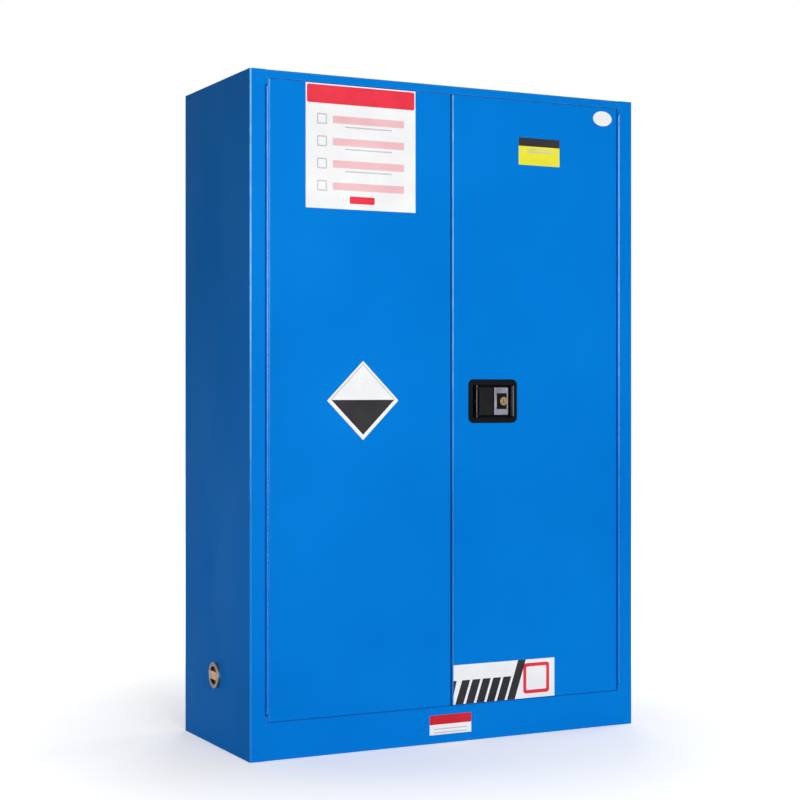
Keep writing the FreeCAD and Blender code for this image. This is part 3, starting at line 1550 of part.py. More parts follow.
def lock_rod(name, side, way, tip):
    """A round rod with a flat slotted head. way is 1 for the upper rod and -1 for the lower."""
    x = rotor_x + side * dim.throw_radius
    inner = rotor_x + side * (dim.throw_radius - throw_sag - slot_radius - dim.rod_edge)
    outer = rotor_x + side * (dim.throw_radius + slot_radius + dim.rod_edge)
    head_end = dim.rotor_diameter / 2 + throw + 2 * dim.rod_edge
    bar_start = dim.rotor_diameter / 2 + throw + dim.rod_edge / 2
    upright = (handle_z - way * 2 * dim.rod_edge, handle_z + way * head_end)
    head = box(f"{name}_head", sorted_span((inner, outer)), (head_front, head_back), sorted_span(upright))
    bar_span = sorted_span((handle_z + way * bar_start, tip))
    bar = cylinder(f"{name}_bar", "Z", (x, rod_y), bar_span, rod_radius)
    slot_inner = rotor_x + side * (dim.throw_radius - throw_sag - slot_radius)
    slot_outer = rotor_x + side * (dim.throw_radius + slot_radius)
    slot = box(
        f"{name}_slot",
        sorted_span((slot_inner, slot_outer)),
        (head_front, head_back),
        (handle_z - slot_radius, handle_z + slot_radius),
    )
    return finish(name, cut(name, fuse(f"{name}_solid", head, bar), slot))


def rod_guides():
    guides = []
    half = dim.guide_width / 2
    for rod, x, way in (("top", top_rod_x, 1), ("bottom", bottom_rod_x, -1)):
        for place, distance in (("inner", dim.inner_guide), ("outer", dim.outer_guide)):
            name = f"guide_{rod}_{place}"
            z = handle_z + way * distance
            span = (z, z + dim.guide_thickness)
            plate = box(f"{name}_plate", (x - half, x + half), (front + dim.sheet, pan_face), span)
            hole = cylinder(f"{name}_hole", "Z", (x, rod_y), span, rod_radius + dim.rod_play)
            guides.append(cut(name, plate, hole))
    finish("rod_guides", group("rod_guides", guides))


def latch():
    latch_pivot()
    centre_bolt()
    latch_rotor()
    lock_rod("top_rod", RIGHT, 1, door_top - dim.retracted_depth + throw)
    lock_rod("bottom_rod", LEFT, -1, door_bottom + dim.retracted_depth - throw)
    rod_guides()


# Labels


def label(name, x, z, width, height):
    """A flat card on the front, by its middle and size."""
    return box(
        name,
        (x - width / 2, x + width / 2),
        (front - dim.label_thickness, front),
        (z - height / 2, z + height / 2),
    )


def diamond():
    body = new_body("diamond_label")
    sketch = new_sketch(body, "Y", front)
    x, z = -dim.diamond_middle, door_middle - dim.diamond_drop
    size = dim.diamond_size
    polygon(sketch, [(x - size, z), (x, z - size), (x + size, z), (x, z + size)])
    pad(sketch, dim.label_thickness)
    return body


def oval():
    outline = document.addObject("Part::Ellipse", "oval_outline")
    outline.Placement = FreeCAD.Placement(FreeCAD.Vector(), TURNED_TO["Y"])
    bind(outline, "MajorRadius", dim.oval_width / 2)
    bind(outline, "MinorRadius", dim.oval_height / 2)
    bind(outline, "Placement.Base.x", dim.oval_middle)
    bind(outline, "Placement.Base.y", front - dim.label_thickness)
    bind(outline, "Placement.Base.z", door_top - dim.oval_drop)
    plate = document.addObject("Part::Extrusion", "oval_label")
    plate.Base = outline
    plate.Dir = FreeCAD.Vector(0, 1, 0)
    bind(plate, "LengthFwd", dim.label_thickness)
    plate.Solid = True
    return plate


def labels():
    card_z = door_top - dim.card_top - dim.card_height / 2
    card = label("contents_card", -dim.card_middle, card_z, dim.card_width, dim.card_height)
    finish("left_door_labels", group("left_door_labels", [card, diamond()]))

    plate_z = door_top - dim.plate_drop
    plate = label("yellow_plate", dim.plate_middle, plate_z, dim.plate_width, dim.plate_height)
    strip_x = dim.door_clearance + dim.strip_inset + dim.strip_width / 2
    strip_z = door_bottom + dim.strip_rise + dim.strip_height / 2
    strip = label("striped_strip", strip_x, strip_z, dim.strip_width, dim.strip_height)
    finish("right_door_labels", group("right_door_labels", [plate, oval(), strip]))

    sill_card = label(
        "sill_label",
        dim.sill_card_middle,
        dim.sill_card_rise,
        dim.sill_card_width,
        dim.sill_card_height,
    )
    finish("sill_label", sill_card)


# The whole cabinet


def build():
    sides = [
        side_panel("left_side_panel", LEFT, low_vent),
        side_panel("right_side_panel", RIGHT, high_vent),
    ]
    back_panel()
    top_panel(sides)
    base_panel(sides)
    front_sill()
    liner_sides()
    liner_back()
    liner_top()
    sump_tray()
    levelling_feet()
    foot_brackets()
    vents()
    earthing()
    shelf_standards()
    shelf_hooks()
    shelf("lower_shelf", dim.lower_shelf_slot)
    shelf("upper_shelf", dim.upper_shelf_slot)
    hinges()
    for place, side in (("left", LEFT), ("right", RIGHT)):
        door_skin(f"{place}_door_skin", side)
        inner_pan(f"{place}_door_inner_pan", side)
    centre_strike()
    strike_plates()
    handle_dish()
    cam_strike()
    dish_clamps()
    paddle_pin()
    paddle()
    lock_housing()
    key_plug()
    lock_cam()
    latch()
    labels()
    document.recompute()


def check():
    """Stops if any object failed or any sub-part isn't a sound solid."""
    for thing in document.Objects:
        if "Invalid" in thing.State or "Error" in thing.State:
            raise RuntimeError(f"{thing.Label} is in state {thing.State}")
    for thing in subparts:
        if thing.Shape.isNull() or not thing.Shape.isValid() or not thing.Shape.Solids:
            raise RuntimeError(f"{thing.Label} has no valid solid")


def export():
    os.makedirs("parts", exist_ok=True)
    for thing in subparts:
        thing.Shape.exportStep(f"parts/{thing.Label}.step")
        print(f"{thing.Label}: {len(thing.Shape.Solids)} solids, {thing.Shape.Volume:.0f} mm3")


build()
check()
export()
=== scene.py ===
import math

import bpy
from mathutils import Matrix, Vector


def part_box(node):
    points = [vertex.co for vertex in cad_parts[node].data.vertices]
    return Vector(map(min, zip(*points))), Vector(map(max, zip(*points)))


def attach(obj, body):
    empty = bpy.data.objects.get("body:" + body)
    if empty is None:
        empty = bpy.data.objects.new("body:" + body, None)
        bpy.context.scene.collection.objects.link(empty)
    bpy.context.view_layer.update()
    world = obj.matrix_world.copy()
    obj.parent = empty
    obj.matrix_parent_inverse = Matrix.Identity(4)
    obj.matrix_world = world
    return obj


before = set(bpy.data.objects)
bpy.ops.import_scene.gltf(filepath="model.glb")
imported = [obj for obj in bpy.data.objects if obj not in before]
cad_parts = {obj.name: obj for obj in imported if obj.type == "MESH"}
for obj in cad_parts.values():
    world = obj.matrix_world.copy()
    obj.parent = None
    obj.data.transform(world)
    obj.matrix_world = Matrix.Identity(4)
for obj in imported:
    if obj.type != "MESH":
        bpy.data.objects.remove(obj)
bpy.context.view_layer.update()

MM = 0.001
NOISE_LOW, NOISE_HIGH = 0.3, 0.7    # most of a noise's values lie between these


# Node graphs

class Graph:
    """The nodes of one material or of the world."""

    def __init__(self, owner):
        owner.use_nodes = True
        self.owner = owner
        self.tree = owner.node_tree
        self.nodes = self.tree.nodes

    def put(self, socket, value):
        """Link another node's output to the socket, or set it to a plain value."""
        if isinstance(value, bpy.types.NodeSocket):
            self.tree.links.new(value, socket)
        else:
            socket.default_value = value

    def add(self, kind, inputs=None, **settings):
        """A new node. Its inputs are given by name or by number."""
        node = self.nodes.new(kind)
        for name, value in settings.items():
            setattr(node, name, value)
        for key, value in (inputs or {}).items():
            self.put(node.inputs[key], value)
        return node

    def place(self):
        """The point's place at rest in the frame, in metres."""
        return self.add("ShaderNodeTexCoord").outputs["Object"]

    def height(self):
        """The point's height at rest above the floor, in metres."""
        return self.add("ShaderNodeSeparateXYZ", {0: self.place()}).outputs["Z"]

    def maths(self, operation, first, second=0.0):
        node = self.add("ShaderNodeMath", {0: first, 1: second}, operation=operation)
        return node.outputs[0]

    def scaled(self, value, share):
        return self.maths("MULTIPLY", value, share)

    def vector(self, operation, first, second=(0, 0, 0)):
        node = self.add("ShaderNodeVectorMath", {0: first, 1: second}, operation=operation)
        return node.outputs["Value" if operation == "LENGTH" else "Vector"]

    def stretched(self, scales):
        return self.vector("MULTIPLY", self.place(), scales)

    def noise(self, scale, detail, vector=None):
        inputs = {"Vector": vector or self.place(), "Scale": scale, "Detail": detail}
        return self.add("ShaderNodeTexNoise", inputs).outputs["Fac"]

    def cells(self, scale):
        """A number for each cell of a pattern of cells."""
        inputs = {"Vector": self.place(), "Scale": scale}
        colour = self.add("ShaderNodeTexVoronoi", inputs).outputs["Color"]
        return self.add("ShaderNodeSeparateColor", {"Color": colour}).outputs[0]

    def between(self, value, low, high, to_low=0.0, to_high=1.0):
        """The value spread from low..high to to_low..to_high, and held there."""
        inputs = {
            "Value": value, "From Min": low, "From Max": high, "To Min": to_low, "To Max": to_high,
        }
        return self.add("ShaderNodeMapRange", inputs).outputs["Result"]

    def spread(self, noise, to_low, to_high):
        """A noise spread over to_low..to_high."""
        return self.between(noise, NOISE_LOW, NOISE_HIGH, to_low, to_high)

    def shades(self, value, dark, bright, low=NOISE_LOW, high=NOISE_HIGH):
        """A colour that runs from dark to bright as the value goes from low to high."""
        node = self.add("ShaderNodeValToRGB", {"Fac": value})
        stops = zip(node.color_ramp.elements, (low, high), (dark, bright))
        for element, position, colour in stops:
            element.position = position
            element.color = (*colour, 1.0)
        return node.outputs["Color"]

    def blend(self, share, first, second):
        inputs = {"Fac": share, "Color1": first, "Color2": second}
        return self.add("ShaderNodeMixRGB", inputs).outputs["Color"]

    def bump(self, height, depth, under=None):
        """Relief of this depth in metres, on top of the relief under it."""
        inputs = {"Height": height, "Distance": depth}
        if under:
            inputs["Normal"] = under
        return self.add("ShaderNodeBump", inputs).outputs["Normal"]

    def rings(self, axis, centre, pitch):
        """Turning marks: waves in the distance from a line along the axis through the centre."""
        across = tuple(0.0 if index == axis else 1.0 for index in range(3))
        offset = self.vector("SUBTRACT", self.place(), centre)
        distance = self.vector("LENGTH", self.vector("MULTIPLY", offset, across))
        return self.maths("SINE", self.scaled(distance, 2 * math.pi / pitch))

    def edges(self, radius):
        """1 on the convex and concave edges, 0 on the flats."""
        rounded = self.add("ShaderNodeBevel", {"Radius": radius}, samples=4).outputs["Normal"]
        flat = self.add("ShaderNodeNewGeometry").outputs["Normal"]
        alike = self.add("ShaderNodeVectorMath", {0: rounded, 1: flat}, operation="DOT_PRODUCT")
        edge_starts, edge_full = 0.97, 0.80
        return self.between(alike.outputs["Value"], edge_starts, edge_full)

    def bends(self):
        """Painted highlight: 1 on upright bends and barrels that face the front left
        or the back right, a small share of that on level bends, and 0 on the flats.
        """
        facing = self.add("ShaderNodeTexCoord").outputs["Normal"]
        right, back, up = self.add("ShaderNodeSeparateXYZ", {0: facing}).outputs
        bend_starts, bend_full, level_share = 0.08, 0.25, 0.15
        upright = self.between(self.maths("MULTIPLY", right, back), bend_starts, bend_full)
        slope = self.maths("ABSOLUTE", self.maths("MULTIPLY", back, up))
        level = self.between(slope, bend_starts, bend_full, 0.0, level_share)
        return self.maths("MAXIMUM", upright, level)


def new_material(name, **inputs):
    """A material with a Principled shader, and the graph to add to it."""
    graph = Graph(bpy.data.materials.new(name + "_finish"))
    graph.shader = graph.nodes["Principled BSDF"]
    for key, value in inputs.items():
        graph.put(graph.shader.inputs[key.replace("_", " ")], value)
    return graph


def dress(graph, colour, roughness, normal):
    graph.put(graph.shader.inputs["Base Color"], colour)
    graph.put(graph.shader.inputs["Roughness"], roughness)
    graph.put(graph.shader.inputs["Normal"], normal)
    return graph.owner


# Materials

# The pale blue painted on the bends and edges as a highlight
BEND_HIGHLIGHT = (0.22, 0.56, 1.0)
# The painted highlight on the bends grows with height, in metres, from the least share to the full
# one.
HIGHLIGHT_STARTS, HIGHLIGHT_FULL = 0.6, 1.15
LEAST_HIGHLIGHT = 0.12


def powder_coat(name, deep, light, gloss=0.44, bend_highlight=1.0):
    """Baked powder paint: a fine orange peel, a slow change of tone, and a painted highlight on
    bends and edges.
    """
    graph = new_material(name, Specular_IOR_Level=0.012)
    colour = graph.shades(graph.noise(scale=2.3, detail=3.0), deep, light)
    mottle = graph.noise(scale=38.0, detail=4.0)
    # Painted highlight: bends and edges blend toward pale blue, more so higher up and in patches
    highlight_share = graph.maths(
        "MULTIPLY",
        graph.between(graph.height(), HIGHLIGHT_STARTS, HIGHLIGHT_FULL, LEAST_HIGHLIGHT, bend_highlight),
        graph.between(mottle, low=0.40, high=0.60, to_low=0.7, to_high=1.0),
    )
    edges = graph.scaled(graph.edges(radius=1.2 * MM), share=0.2)
    highlit_bends_and_edges = graph.maths("MAXIMUM", graph.bends(), edges)
    colour = graph.blend(graph.maths("MULTIPLY", highlit_bends_and_edges, highlight_share), colour, (*BEND_HIGHLIGHT, 1.0))
    smear = graph.noise(scale=1.0, detail=5.0, vector=graph.stretched((7.0, 7.0, 2.2)))
    roughness = graph.spread(smear, gloss - 0.05, gloss + 0.07)
    peel = graph.bump(graph.noise(scale=620.0, detail=1.0), depth=0.05 * MM)
    wave = graph.bump(graph.noise(scale=9.0, detail=1.0), depth=0.35 * MM, under=peel)
    return dress(graph, colour, roughness, wave)


BLOOM = (0.60, 0.61, 0.62)


def galvanised(name, dark, bright, spangle, rough):
    """Zinc-coated sheet with its spangle and a little white bloom."""
    graph = new_material(name, Metallic=1.0)
    crystal = graph.cells(scale=spangle)
    bloom = graph.between(graph.noise(scale=14.0, detail=5.0), low=0.52, high=0.72)
    colour = graph.shades(crystal, dark, bright, low=0.0, high=1.0)
    colour = graph.blend(graph.scaled(bloom, share=0.35), colour, (*BLOOM, 1.0))
    roughness = graph.maths(
        "ADD",
        graph.between(crystal, 0.0, 1.0, rough - 0.06, rough + 0.08),
        graph.scaled(bloom, share=0.12),
    )
    facets = graph.bump(crystal, depth=0.01 * MM)
    surface = graph.bump(graph.noise(scale=900.0, detail=2.0), depth=0.03 * MM, under=facets)
    return dress(graph, colour, roughness, surface)


def drawn_metal(name, dark, bright, rough, along=(900.0, 900.0, 6.0)):
    """Drawn or brushed metal, with fine lines along its length and smudges from hands."""
    graph = new_material(name, Metallic=1.0)
    lines = graph.noise(scale=1.0, detail=3.0, vector=graph.stretched(along))
    smudges = graph.noise(scale=30.0, detail=4.0)
    mixed = graph.blend(share=0.5, first=lines, second=smudges)
    colour = graph.shades(mixed, dark, bright)
    roughness = graph.spread(smudges, rough - 0.05, rough + 0.08)
    return dress(graph, colour, roughness, graph.bump(lines, depth=0.02 * MM))


def turned_metal(name, dark, bright, axis, centre, rough=0.24):
    """Turned metal: the tool's rings about its axis, dull stains, and bright edges."""
    graph = new_material(name, Metallic=1.0)
    rings = graph.rings(axis, centre, pitch=0.5 * MM)
    stain = graph.noise(scale=140.0, detail=4.0)
    colour = graph.shades(stain, dark, bright, high=0.68)
    worn = tuple(1.15 * part for part in bright)
    edges = graph.scaled(graph.edges(radius=0.6 * MM), share=0.5)
    colour = graph.blend(edges, colour, (*worn, 1.0))
    roughness = graph.spread(stain, rough + 0.10, rough - 0.04)
    return dress(graph, colour, roughness, graph.bump(rings, depth=0.015 * MM))


def moulded_plastic(name, deep, light, rough=0.46):
    """Moulded plastic with a fine spark-eroded grain, its edges rubbed a little paler."""
    graph = new_material(name, Specular_IOR_Level=0.05)
    pores = graph.noise(scale=1500.0, detail=2.0)
    cloud = graph.noise(scale=26.0, detail=3.0)
    colour = graph.shades(cloud, deep, light, high=0.72)
    pale = tuple(1.9 * part for part in light)
    edges = graph.scaled(graph.edges(radius=1.0 * MM), share=0.6)
    colour = graph.blend(edges, colour, (*pale, 1.0))
    roughness = graph.spread(cloud, rough - 0.06, rough + 0.06)
    return dress(graph, colour, roughness, graph.bump(pores, depth=0.04 * MM))


def printed_film(name, deep, light):
    """Printed adhesive film: a faint grain, and slight waves from being smoothed down by hand."""
    rough = 0.34
    graph = new_material(name, Specular_IOR_Level=0.15)
    grain = graph.noise(scale=900.0, detail=1.0)
    cloud = graph.noise(scale=12.0, detail=3.0)
    mixed = graph.blend(share=0.35, first=cloud, second=grain)
    colour = graph.shades(mixed, deep, light, low=0.35, high=0.65)
    roughness = graph.spread(cloud, rough - 0.05, rough + 0.08)
    wave = graph.bump(cloud, depth=0.15 * MM, under=graph.bump(grain, depth=0.01 * MM))
    return dress(graph, colour, roughness, wave)


FOOT_STEEL = ((0.40, 0.41, 0.43), (0.56, 0.57, 0.58))
RUBBER = ((0.012, 0.012, 0.012), (0.028, 0.027, 0.026))


def steel_on_rubber(name, split):
    """A plated steel foot whose pad, below the split, is black rubber."""
    rubber_rough, steel_rough = 0.82, 0.34
    graph = new_material(name)
    metal = graph.between(graph.height(), split, split + 0.1 * MM)
    grain = graph.noise(scale=700.0, detail=3.0)
    steel = graph.shades(grain, *FOOT_STEEL)
    rubber = graph.shades(grain, *RUBBER)
    graph.put(graph.shader.inputs["Metallic"], metal)
    roughness = graph.between(metal, 0.0, 1.0, rubber_rough, steel_rough)
    relief = graph.bump(grain, depth=0.05 * MM)
    return dress(graph, graph.blend(metal, rubber, steel), roughness, relief)


def middle(name):
    """The middle of a CAD node's box, in metres."""
    low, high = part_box(name)
    return tuple(0.5 * (start + end) for start, end in zip(low, high))


X, Y = 0, 1
KEY_AXIS = middle("key_plug")
LATCH_AXIS = middle("latch_rotor")
LEFT_VENT = middle("vent_cap_left")
RIGHT_VENT = middle("vent_cap_right")
GROUND = middle("ground_stud")
PAD_TOP = 6.5 * MM    # the feet's rubber pads end here

# The darkest and the lightest colour of each finish
BLUE = ((0.0005, 0.170, 0.600), (0.0012, 0.198, 0.660))
BLACK = ((0.0030, 0.0034, 0.0046), (0.0052, 0.0056, 0.0072))
GRIP_BLACK = ((0.0095, 0.0090, 0.0096), (0.0135, 0.0128, 0.0132))
ZINC = ((0.32, 0.33, 0.35), (0.50, 0.51, 0.53))
STEEL = ((0.46, 0.47, 0.50), (0.66, 0.67, 0.69))
BRASS = ((0.32, 0.24, 0.10), (0.50, 0.39, 0.19))
KEY_BRASS = ((0.15, 0.105, 0.042), (0.34, 0.265, 0.135))
CAP_BRASS = ((0.26, 0.165, 0.080), (0.42, 0.275, 0.150))
COLLAR = ((0.11, 0.12, 0.135), (0.24, 0.26, 0.285))
CHROME = ((0.17, 0.17, 0.21), (0.29, 0.29, 0.35))
DULL_STEEL = ((0.022, 0.021, 0.025), (0.040, 0.038, 0.044))
STRIKE = ((0.30, 0.30, 0.32), (0.42, 0.42, 0.44))
WHITE = ((0.80, 0.80, 0.81), (0.87, 0.87, 0.87))

finishes = {
    "body_paint": powder_coat("body_paint", *BLUE),
    # door_paint and hinge_paint get less of the highlight painted on the bends
    "door_paint": powder_coat("door_paint", *BLUE, gloss=0.42, bend_highlight=0.8),
    "inner_paint": powder_coat("inner_paint", *BLUE, gloss=0.5),
    "sump_paint": powder_coat("sump_paint", *BLUE, gloss=0.48),
    "hinge_paint": powder_coat("hinge_paint", *BLUE, gloss=0.4, bend_highlight=0.75),
    "zinc_steel": galvanised("zinc_steel", *ZINC, spangle=260.0, rough=0.42),
    "shelf_steel": galvanised("shelf_steel", *ZINC, spangle=70.0, rough=0.5),
    "pin_steel": drawn_metal("pin_steel", *DULL_STEEL, rough=0.26),
    "latch_steel": drawn_metal("latch_steel", *ZINC, rough=0.32, along=(40.0, 700.0, 40.0)),
    "dish_plastic": moulded_plastic("dish_plastic", *BLACK),
    "paddle_plastic": moulded_plastic("paddle_plastic", *GRIP_BLACK, rough=0.42),
    "housing_chrome": drawn_metal("housing_chrome", *CHROME, rough=0.3, along=(700.0, 700.0, 20.0)),
    "lock_brass": turned_metal("lock_brass", *KEY_BRASS, axis=Y, centre=KEY_AXIS),
    "cap_brass": turned_metal("cap_brass", *CAP_BRASS, axis=X, centre=LEFT_VENT, rough=0.3),
    "collar_steel": turned_metal("collar_steel", *COLLAR, axis=X, centre=LEFT_VENT, rough=0.36),
    "arrester_brass": turned_metal("arrester_brass", *BRASS, axis=X, centre=LEFT_VENT, rough=0.4),
    "ground_brass": turned_metal("ground_brass", *BRASS, axis=X, centre=GROUND),
    "ground_steel": turned_metal("ground_steel", *STEEL, axis=X, centre=GROUND, rough=0.3),
    "foot_steel": steel_on_rubber("foot_steel", split=PAD_TOP),
    "left_labels": printed_film("left_labels", *WHITE),
    "right_labels": printed_film("right_labels", *WHITE),
    "sill_label": printed_film("sill_label", *WHITE),
}

# Nodes that differ from the finish of their slot: another axis for the rings, or another metal
own_finishes = {
    "vent_cap_right": turned_metal(
        "cap_brass_right", *CAP_BRASS, axis=X, centre=RIGHT_VENT, rough=0.3),
    "vent_collar_right": turned_metal(
        "collar_steel_right", *COLLAR, axis=X, centre=RIGHT_VENT, rough=0.36),
    "latch_rotor": turned_metal("rotor_steel", *ZINC, axis=Y, centre=LATCH_AXIS, rough=0.32),
    "cam_strike": drawn_metal("strike_steel", *STRIKE, rough=0.5, along=(600.0, 600.0, 8.0)),
    "left_hinge_pin": drawn_metal("left_hinge_steel", *STEEL, rough=0.24),
    "right_hinge_pin": drawn_metal("right_hinge_steel", *STEEL, rough=0.24),
}

for name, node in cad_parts.items():
    for slot in node.material_slots:
        slot.material = own_finishes.get(name, finishes[slot.material.name])


# Flat pieces: prints on the labels and the lock's black window. Their lengths are in mm.

def rounded(left, right, low, high, radius=0.0):
    """A rectangle's outline, anticlockwise from its lower right corner."""
    if not radius:
        return [(right, low), (right, high), (left, high), (left, low)]
    corners = [
        (right - radius, low + radius, 270),
        (right - radius, high - radius, 0),
        (left + radius, high - radius, 90),
        (left + radius, low + radius, 180),
    ]
    points = []
    steps = 6
    for x, z, start in corners:
        for step in range(steps + 1):
            angle = math.radians(start + 90 * step / steps)
            points.append((x + radius * math.cos(angle), z + radius * math.sin(angle)))
    return points


def circle(x, z, radius, steps):
    """A circle's outline, anticlockwise."""
    angles = [2 * math.pi * step / steps for step in range(steps)]
    return [(x + radius * math.cos(angle), z + radius * math.sin(angle)) for angle in angles]


def square_frame(x, z, half, line, radius, inner_radius):
    """The outer and the inner outline of a square frame."""
    hole = half - line
    return [
        rounded(x - half, x + half, z - half, z + half, radius),
        rounded(x - hole, x + hole, z - hole, z + hole, inner_radius),
    ]


def slanted(left, low, width, height, lean):
    """A bar that leans to the right."""
    return [
        (left, low), (left + width, low), (left + width + lean, low + height),
        (left + lean, low + height),
    ]


def fine_lines(left, right, top, pitch):
    """Two thin lines, one below the other."""
    thickness = 2.5
    return [
        rounded(left, right, top - thickness - pitch * row, top - pitch * row) for row in range(2)
    ]


def plate(name, body, material, loops, back, thickness):
    """A flat piece that faces the front, with its back at Y = back. A loop in another is a hole."""
    curve = bpy.data.curves.new(name, "CURVE")
    curve.dimensions = "2D"
    curve.fill_mode = "BOTH"
    edge = 0.2 * thickness
    curve.extrude = (0.5 * thickness - edge) * MM
    curve.bevel_depth = edge * MM
    curve.offset = -edge * MM
    for loop in loops:
        spline = curve.splines.new("POLY")
        spline.points.add(len(loop) - 1)
        spline.use_cyclic_u = True
        for point, (x, z) in zip(spline.points, loop):
            point.co = (x * MM, z * MM, 0.0, 1.0)
    shape = bpy.data.objects.new(name + "_outline", curve)
    mesh = bpy.data.meshes.new_from_object(shape)
    bpy.data.objects.remove(shape)
    bpy.data.curves.remove(curve)
    halfway = (back - 0.5 * thickness) * MM
    for vertex in mesh.vertices:
        x, z, out = vertex.co
        vertex.co = (x, halfway - out, z)
    mesh.name = name
    mesh.materials.clear()
    mesh.materials.append(material)
    piece = bpy.data.objects.new(name, mesh)
    bpy.context.scene.collection.objects.link(piece)
    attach(piece, body)


INK = 0.08    # the thickness of a layer of ink
LABEL_FACE = -225.3

red_ink = printed_film("red_ink", (0.70, 0.025, 0.050), (0.80, 0.040, 0.070))
deep_red_ink = printed_film("deep_red_ink", (0.52, 0.010, 0.020), (0.62, 0.018, 0.030))
pink_ink = printed_film("pink_ink", (0.78, 0.44, 0.47), (0.84, 0.52, 0.55))
grey_ink = printed_film("grey_ink", (0.46, 0.46, 0.48), (0.56, 0.56, 0.57))
black_ink = printed_film("black_ink", (0.016, 0.015, 0.018), (0.030, 0.028, 0.032))
yellow_ink = printed_film("yellow_ink", (0.76, 0.70, 0.035), (0.84, 0.79, 0.060))


def printed(name, body, material, loops, layer=0):
    """Ink on a label's face, or on top of another layer of ink."""
    plate(name, body, material, loops, LABEL_FACE - layer * INK, INK)


def card_prints():
    """The large card: a header, four rows of a square and a bar, and a small field at the foot."""
    body, slot = "left_door", "left_labels"
    left, right, low, high = -401.0, -103.0, 1325.5, 1627.5
    margin, header_low = 3, high - 47.5
    first_row, row_pitch = high - 85, 54
    bar_left, bar_right, bar_half = left + 72, right - 32, 9
    square_x, square_half = left + 43, 13
    line_left, line_right, line_top, line_thickness = left + 105, right - 66, 15.5, 3

    header = rounded(left + margin, right - margin, header_low, high - margin, 5)
    printed("card_header_print", body, red_ink, [header])
    rows = [first_row - row_pitch * row for row in range(4)]
    bars = [rounded(bar_left, bar_right, row - bar_half, row + bar_half, 2) for row in rows]
    printed("card_bar_prints", body, pink_ink, bars)
    fine = []
    for row in rows:
        fine += square_frame(square_x, row, square_half, line=3, radius=3, inner_radius=2)
    for row in rows[:3]:
        top = row - line_top
        fine.append(rounded(line_left, line_right, top - line_thickness, top))
    printed("card_fine_prints", body, grey_ink, fine)
    foot = rounded(left + 117, left + 185, low + 14, low + 32, 3)
    printed("card_foot_print", body, red_ink, [foot])


def diamond_prints():
    """The diamond: a black lower half, and a thin line inside the edge of the upper half."""
    body, slot = "left_door", "left_labels"
    x, z = -247.5, 859.5
    inner, line = 87.0, 3
    field_top, field_half = z + 0.5 * line, inner - 0.5 * line
    field = [(x - field_half, field_top), (x, field_top - field_half), (x + field_half, field_top)]
    printed("diamond_field_print", body, black_ink, [field])
    foot = z + line
    frame_line = [
        (x - inner, foot), (x, foot + inner), (x + inner, foot),
        (x + inner - line, foot), (x, foot + inner - line), (x - inner + line, foot),
    ]
    printed("diamond_frame_print", body, grey_ink, [frame_line])


def plate_prints():
    """The yellow plate with its black header and two thin lines."""
    body, slot = "right_door", "right_labels"
    left, right, low, high = 195.5, 318.5, 1464.0, 1534.0
    header_low, inset, line_top = high - 21.5, 24, 6.5
    ground = rounded(left, right, low, header_low)
    printed("plate_ground_print", body, yellow_ink, [ground])
    header = rounded(left, right, header_low, high)
    printed("plate_header_print", body, black_ink, [header])
    lines = fine_lines(left + inset, right - inset, header_low - line_top, pitch=7)
    printed("plate_line_prints", body, grey_ink, lines, layer=1)


def strip_prints():
    """The strip at the door's foot: leaning bars, cut off at its left end, and a red frame."""
    body, slot = "right_door", "right_labels"
    left, right, low, high = 5.0, 303.0, 93.5, 192.5
    bar, pitch, slope = 23.0, 30.1, 20.0 / 60.0
    short, tall = 59.5, high - low
    first, cut_width, cut_low = left + 5, 9, 22
    bars = [
        slanted(first + pitch * index, low, bar, height, slope * height)
        for index, height in enumerate([short] * 5 + [tall])
    ]
    bars.append([(left, low + cut_low), (left + cut_width, low + short), (left, low + short)])
    printed("strip_bar_prints", body, black_ink, bars)
    sign = square_frame(right - 55, low + 50.5, half=39.0, line=9, radius=8, inner_radius=3)
    printed("strip_sign_print", body, red_ink, sign)


def sill_prints():
    """The small card on the sill: a header and two thin lines."""
    body, slot = "cabinet", "sill_label"
    left, right, low, high = -63.0, 56.0, 22.0, 71.0
    header_height, inset, line_top = 23.5, 12, 15.5
    header = rounded(left, right, high - header_height, high)
    printed("sill_header_print", body, deep_red_ink, [header])
    lines = fine_lines(left + inset, right - inset, low + line_top, pitch=9)
    printed("sill_line_prints", body, grey_ink, lines)


def lock_window():
    """The black plate in the housing's window, with a round hole for the key cylinder."""
    back, thickness = -224.0, 0.6
    outline = rounded(130.3, 159.2, 836.8, 877.2, 1.5)
    hole = circle(KEY_AXIS[0] / MM, KEY_AXIS[2] / MM, radius=10.9, steps=48)
    black = finishes["dish_plastic"]
    plate("lock_window", "paddle", black, [outline, hole], back, thickness)


card_prints()
diamond_prints()
plate_prints()
strip_prints()
sill_prints()
lock_window()


# Floor, light and camera

PURE_WHITE = (1.0, 1.0, 1.0, 1.0)
PALE_FLOOR = ((0.84, 0.84, 0.84), (0.88, 0.88, 0.88))


def seen_rays(graph):
    """1 for what the camera, a reflection or glass sees, 0 for light."""
    path = graph.add("ShaderNodeLightPath").outputs
    either = graph.maths("MAXIMUM", path["Is Camera Ray"], path["Is Glossy Ray"])
    return graph.maths("MAXIMUM", either, path["Is Transmission Ray"])


def make_world(ambient):
    """A white background that lights the scene only as much as ambient says."""
    world = bpy.data.worlds.new("studio")
    bpy.context.scene.world = world
    graph = Graph(world)
    background = graph.nodes["Background"]
    strength = graph.between(seen_rays(graph), 0.0, 1.0, ambient, 1.0)
    graph.put(background.inputs["Color"], PURE_WHITE)
    graph.put(background.inputs["Strength"], strength)


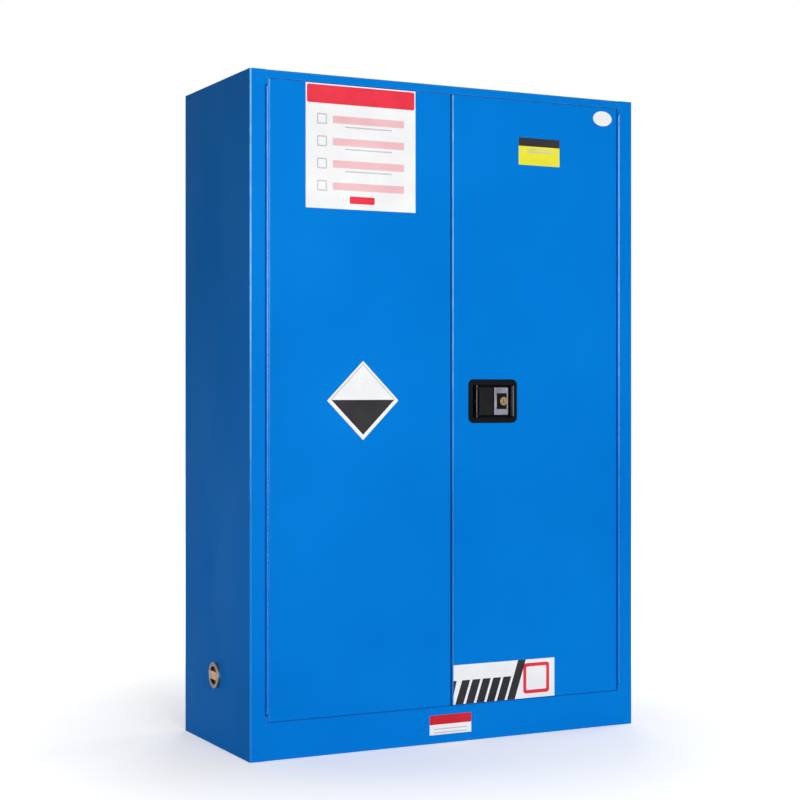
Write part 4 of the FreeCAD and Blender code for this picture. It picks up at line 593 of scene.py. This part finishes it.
def make_floor(radius, near, far, near_glow):
    """A pale floor that keeps the cabinet's shadow and turns white from near to far."""
    mesh = bpy.data.meshes.new("floor")
    rim = [(x, y, 0.0) for x, y in circle(0.0, 0.0, radius, steps=96)]
    mesh.from_pydata(rim, [], [list(range(len(rim)))])
    floor = bpy.data.objects.new("floor", mesh)
    bpy.context.scene.collection.objects.link(floor)
    graph = new_material("floor", Roughness=0.9, Specular_IOR_Level=0.1)
    grain = graph.noise(scale=60.0, detail=3.0)
    graph.put(graph.shader.inputs["Base Color"], graph.shades(grain, *PALE_FLOOR))
    distance = graph.vector("LENGTH", graph.place())
    glow = graph.between(distance, near, far, near_glow, 1.0)
    strength = graph.maths("MULTIPLY", glow, seen_rays(graph))
    graph.put(graph.shader.inputs["Emission Color"], PURE_WHITE)
    graph.put(graph.shader.inputs["Emission Strength"], strength)
    mesh.materials.append(graph.owner)


def make_lamp(name, place, target, size, power):
    data = bpy.data.lights.new(name, "AREA")
    data.shape = "RECTANGLE"
    data.size, data.size_y = size
    data.energy = power
    lamp = bpy.data.objects.new(name, data)
    lamp.location = place
    lamp.rotation_euler = (Vector(target) - Vector(place)).to_track_quat("-Z", "Y").to_euler()
    lamp.visible_camera = False
    bpy.context.scene.collection.objects.link(lamp)


def make_camera(place, turn, lens, shift_y):
    """A level camera, turned about the upright axis only."""
    data = bpy.data.cameras.new("camera")
    data.sensor_width = 36.0
    data.lens = lens
    data.shift_y = shift_y
    data.clip_end = 100.0
    camera = bpy.data.objects.new("camera", data)
    camera.location = place
    camera.rotation_euler = (math.radians(90.0), 0.0, turn)
    bpy.context.scene.collection.objects.link(camera)
    bpy.context.scene.camera = camera


make_world(ambient=0.10)
make_floor(radius=14.0, near=0.5, far=1.8, near_glow=0.42)
make_lamp("key", place=(-0.8, -5.9, 1.4), target=(0.0, -0.2, 0.8), size=(2.6, 2.6), power=278.0)
make_lamp(
    "low_left", place=(-2.3, -0.3, 0.25), target=(-0.54, 0.0, 0.1), size=(0.8, 0.4), power=6.5)
make_lamp("back", place=(2.4, 4.4, 3.6), target=(0.2, 0.2, 1.0), size=(2.5, 2.5), power=70.0)
make_lamp("right", place=(3.6, 0.7, 1.6), target=(0.55, 0.0, 0.9), size=(1.6, 1.6), power=35.0)
# Fitted to the photograph, so that the corners of the body fall where they are there
make_camera(place=(-2.094206, -4.056652, 0.879744), turn=-0.47038, lens=78.116, shift_y=-0.009715)
bpy.context.scene.view_settings.view_transform = "Standard"
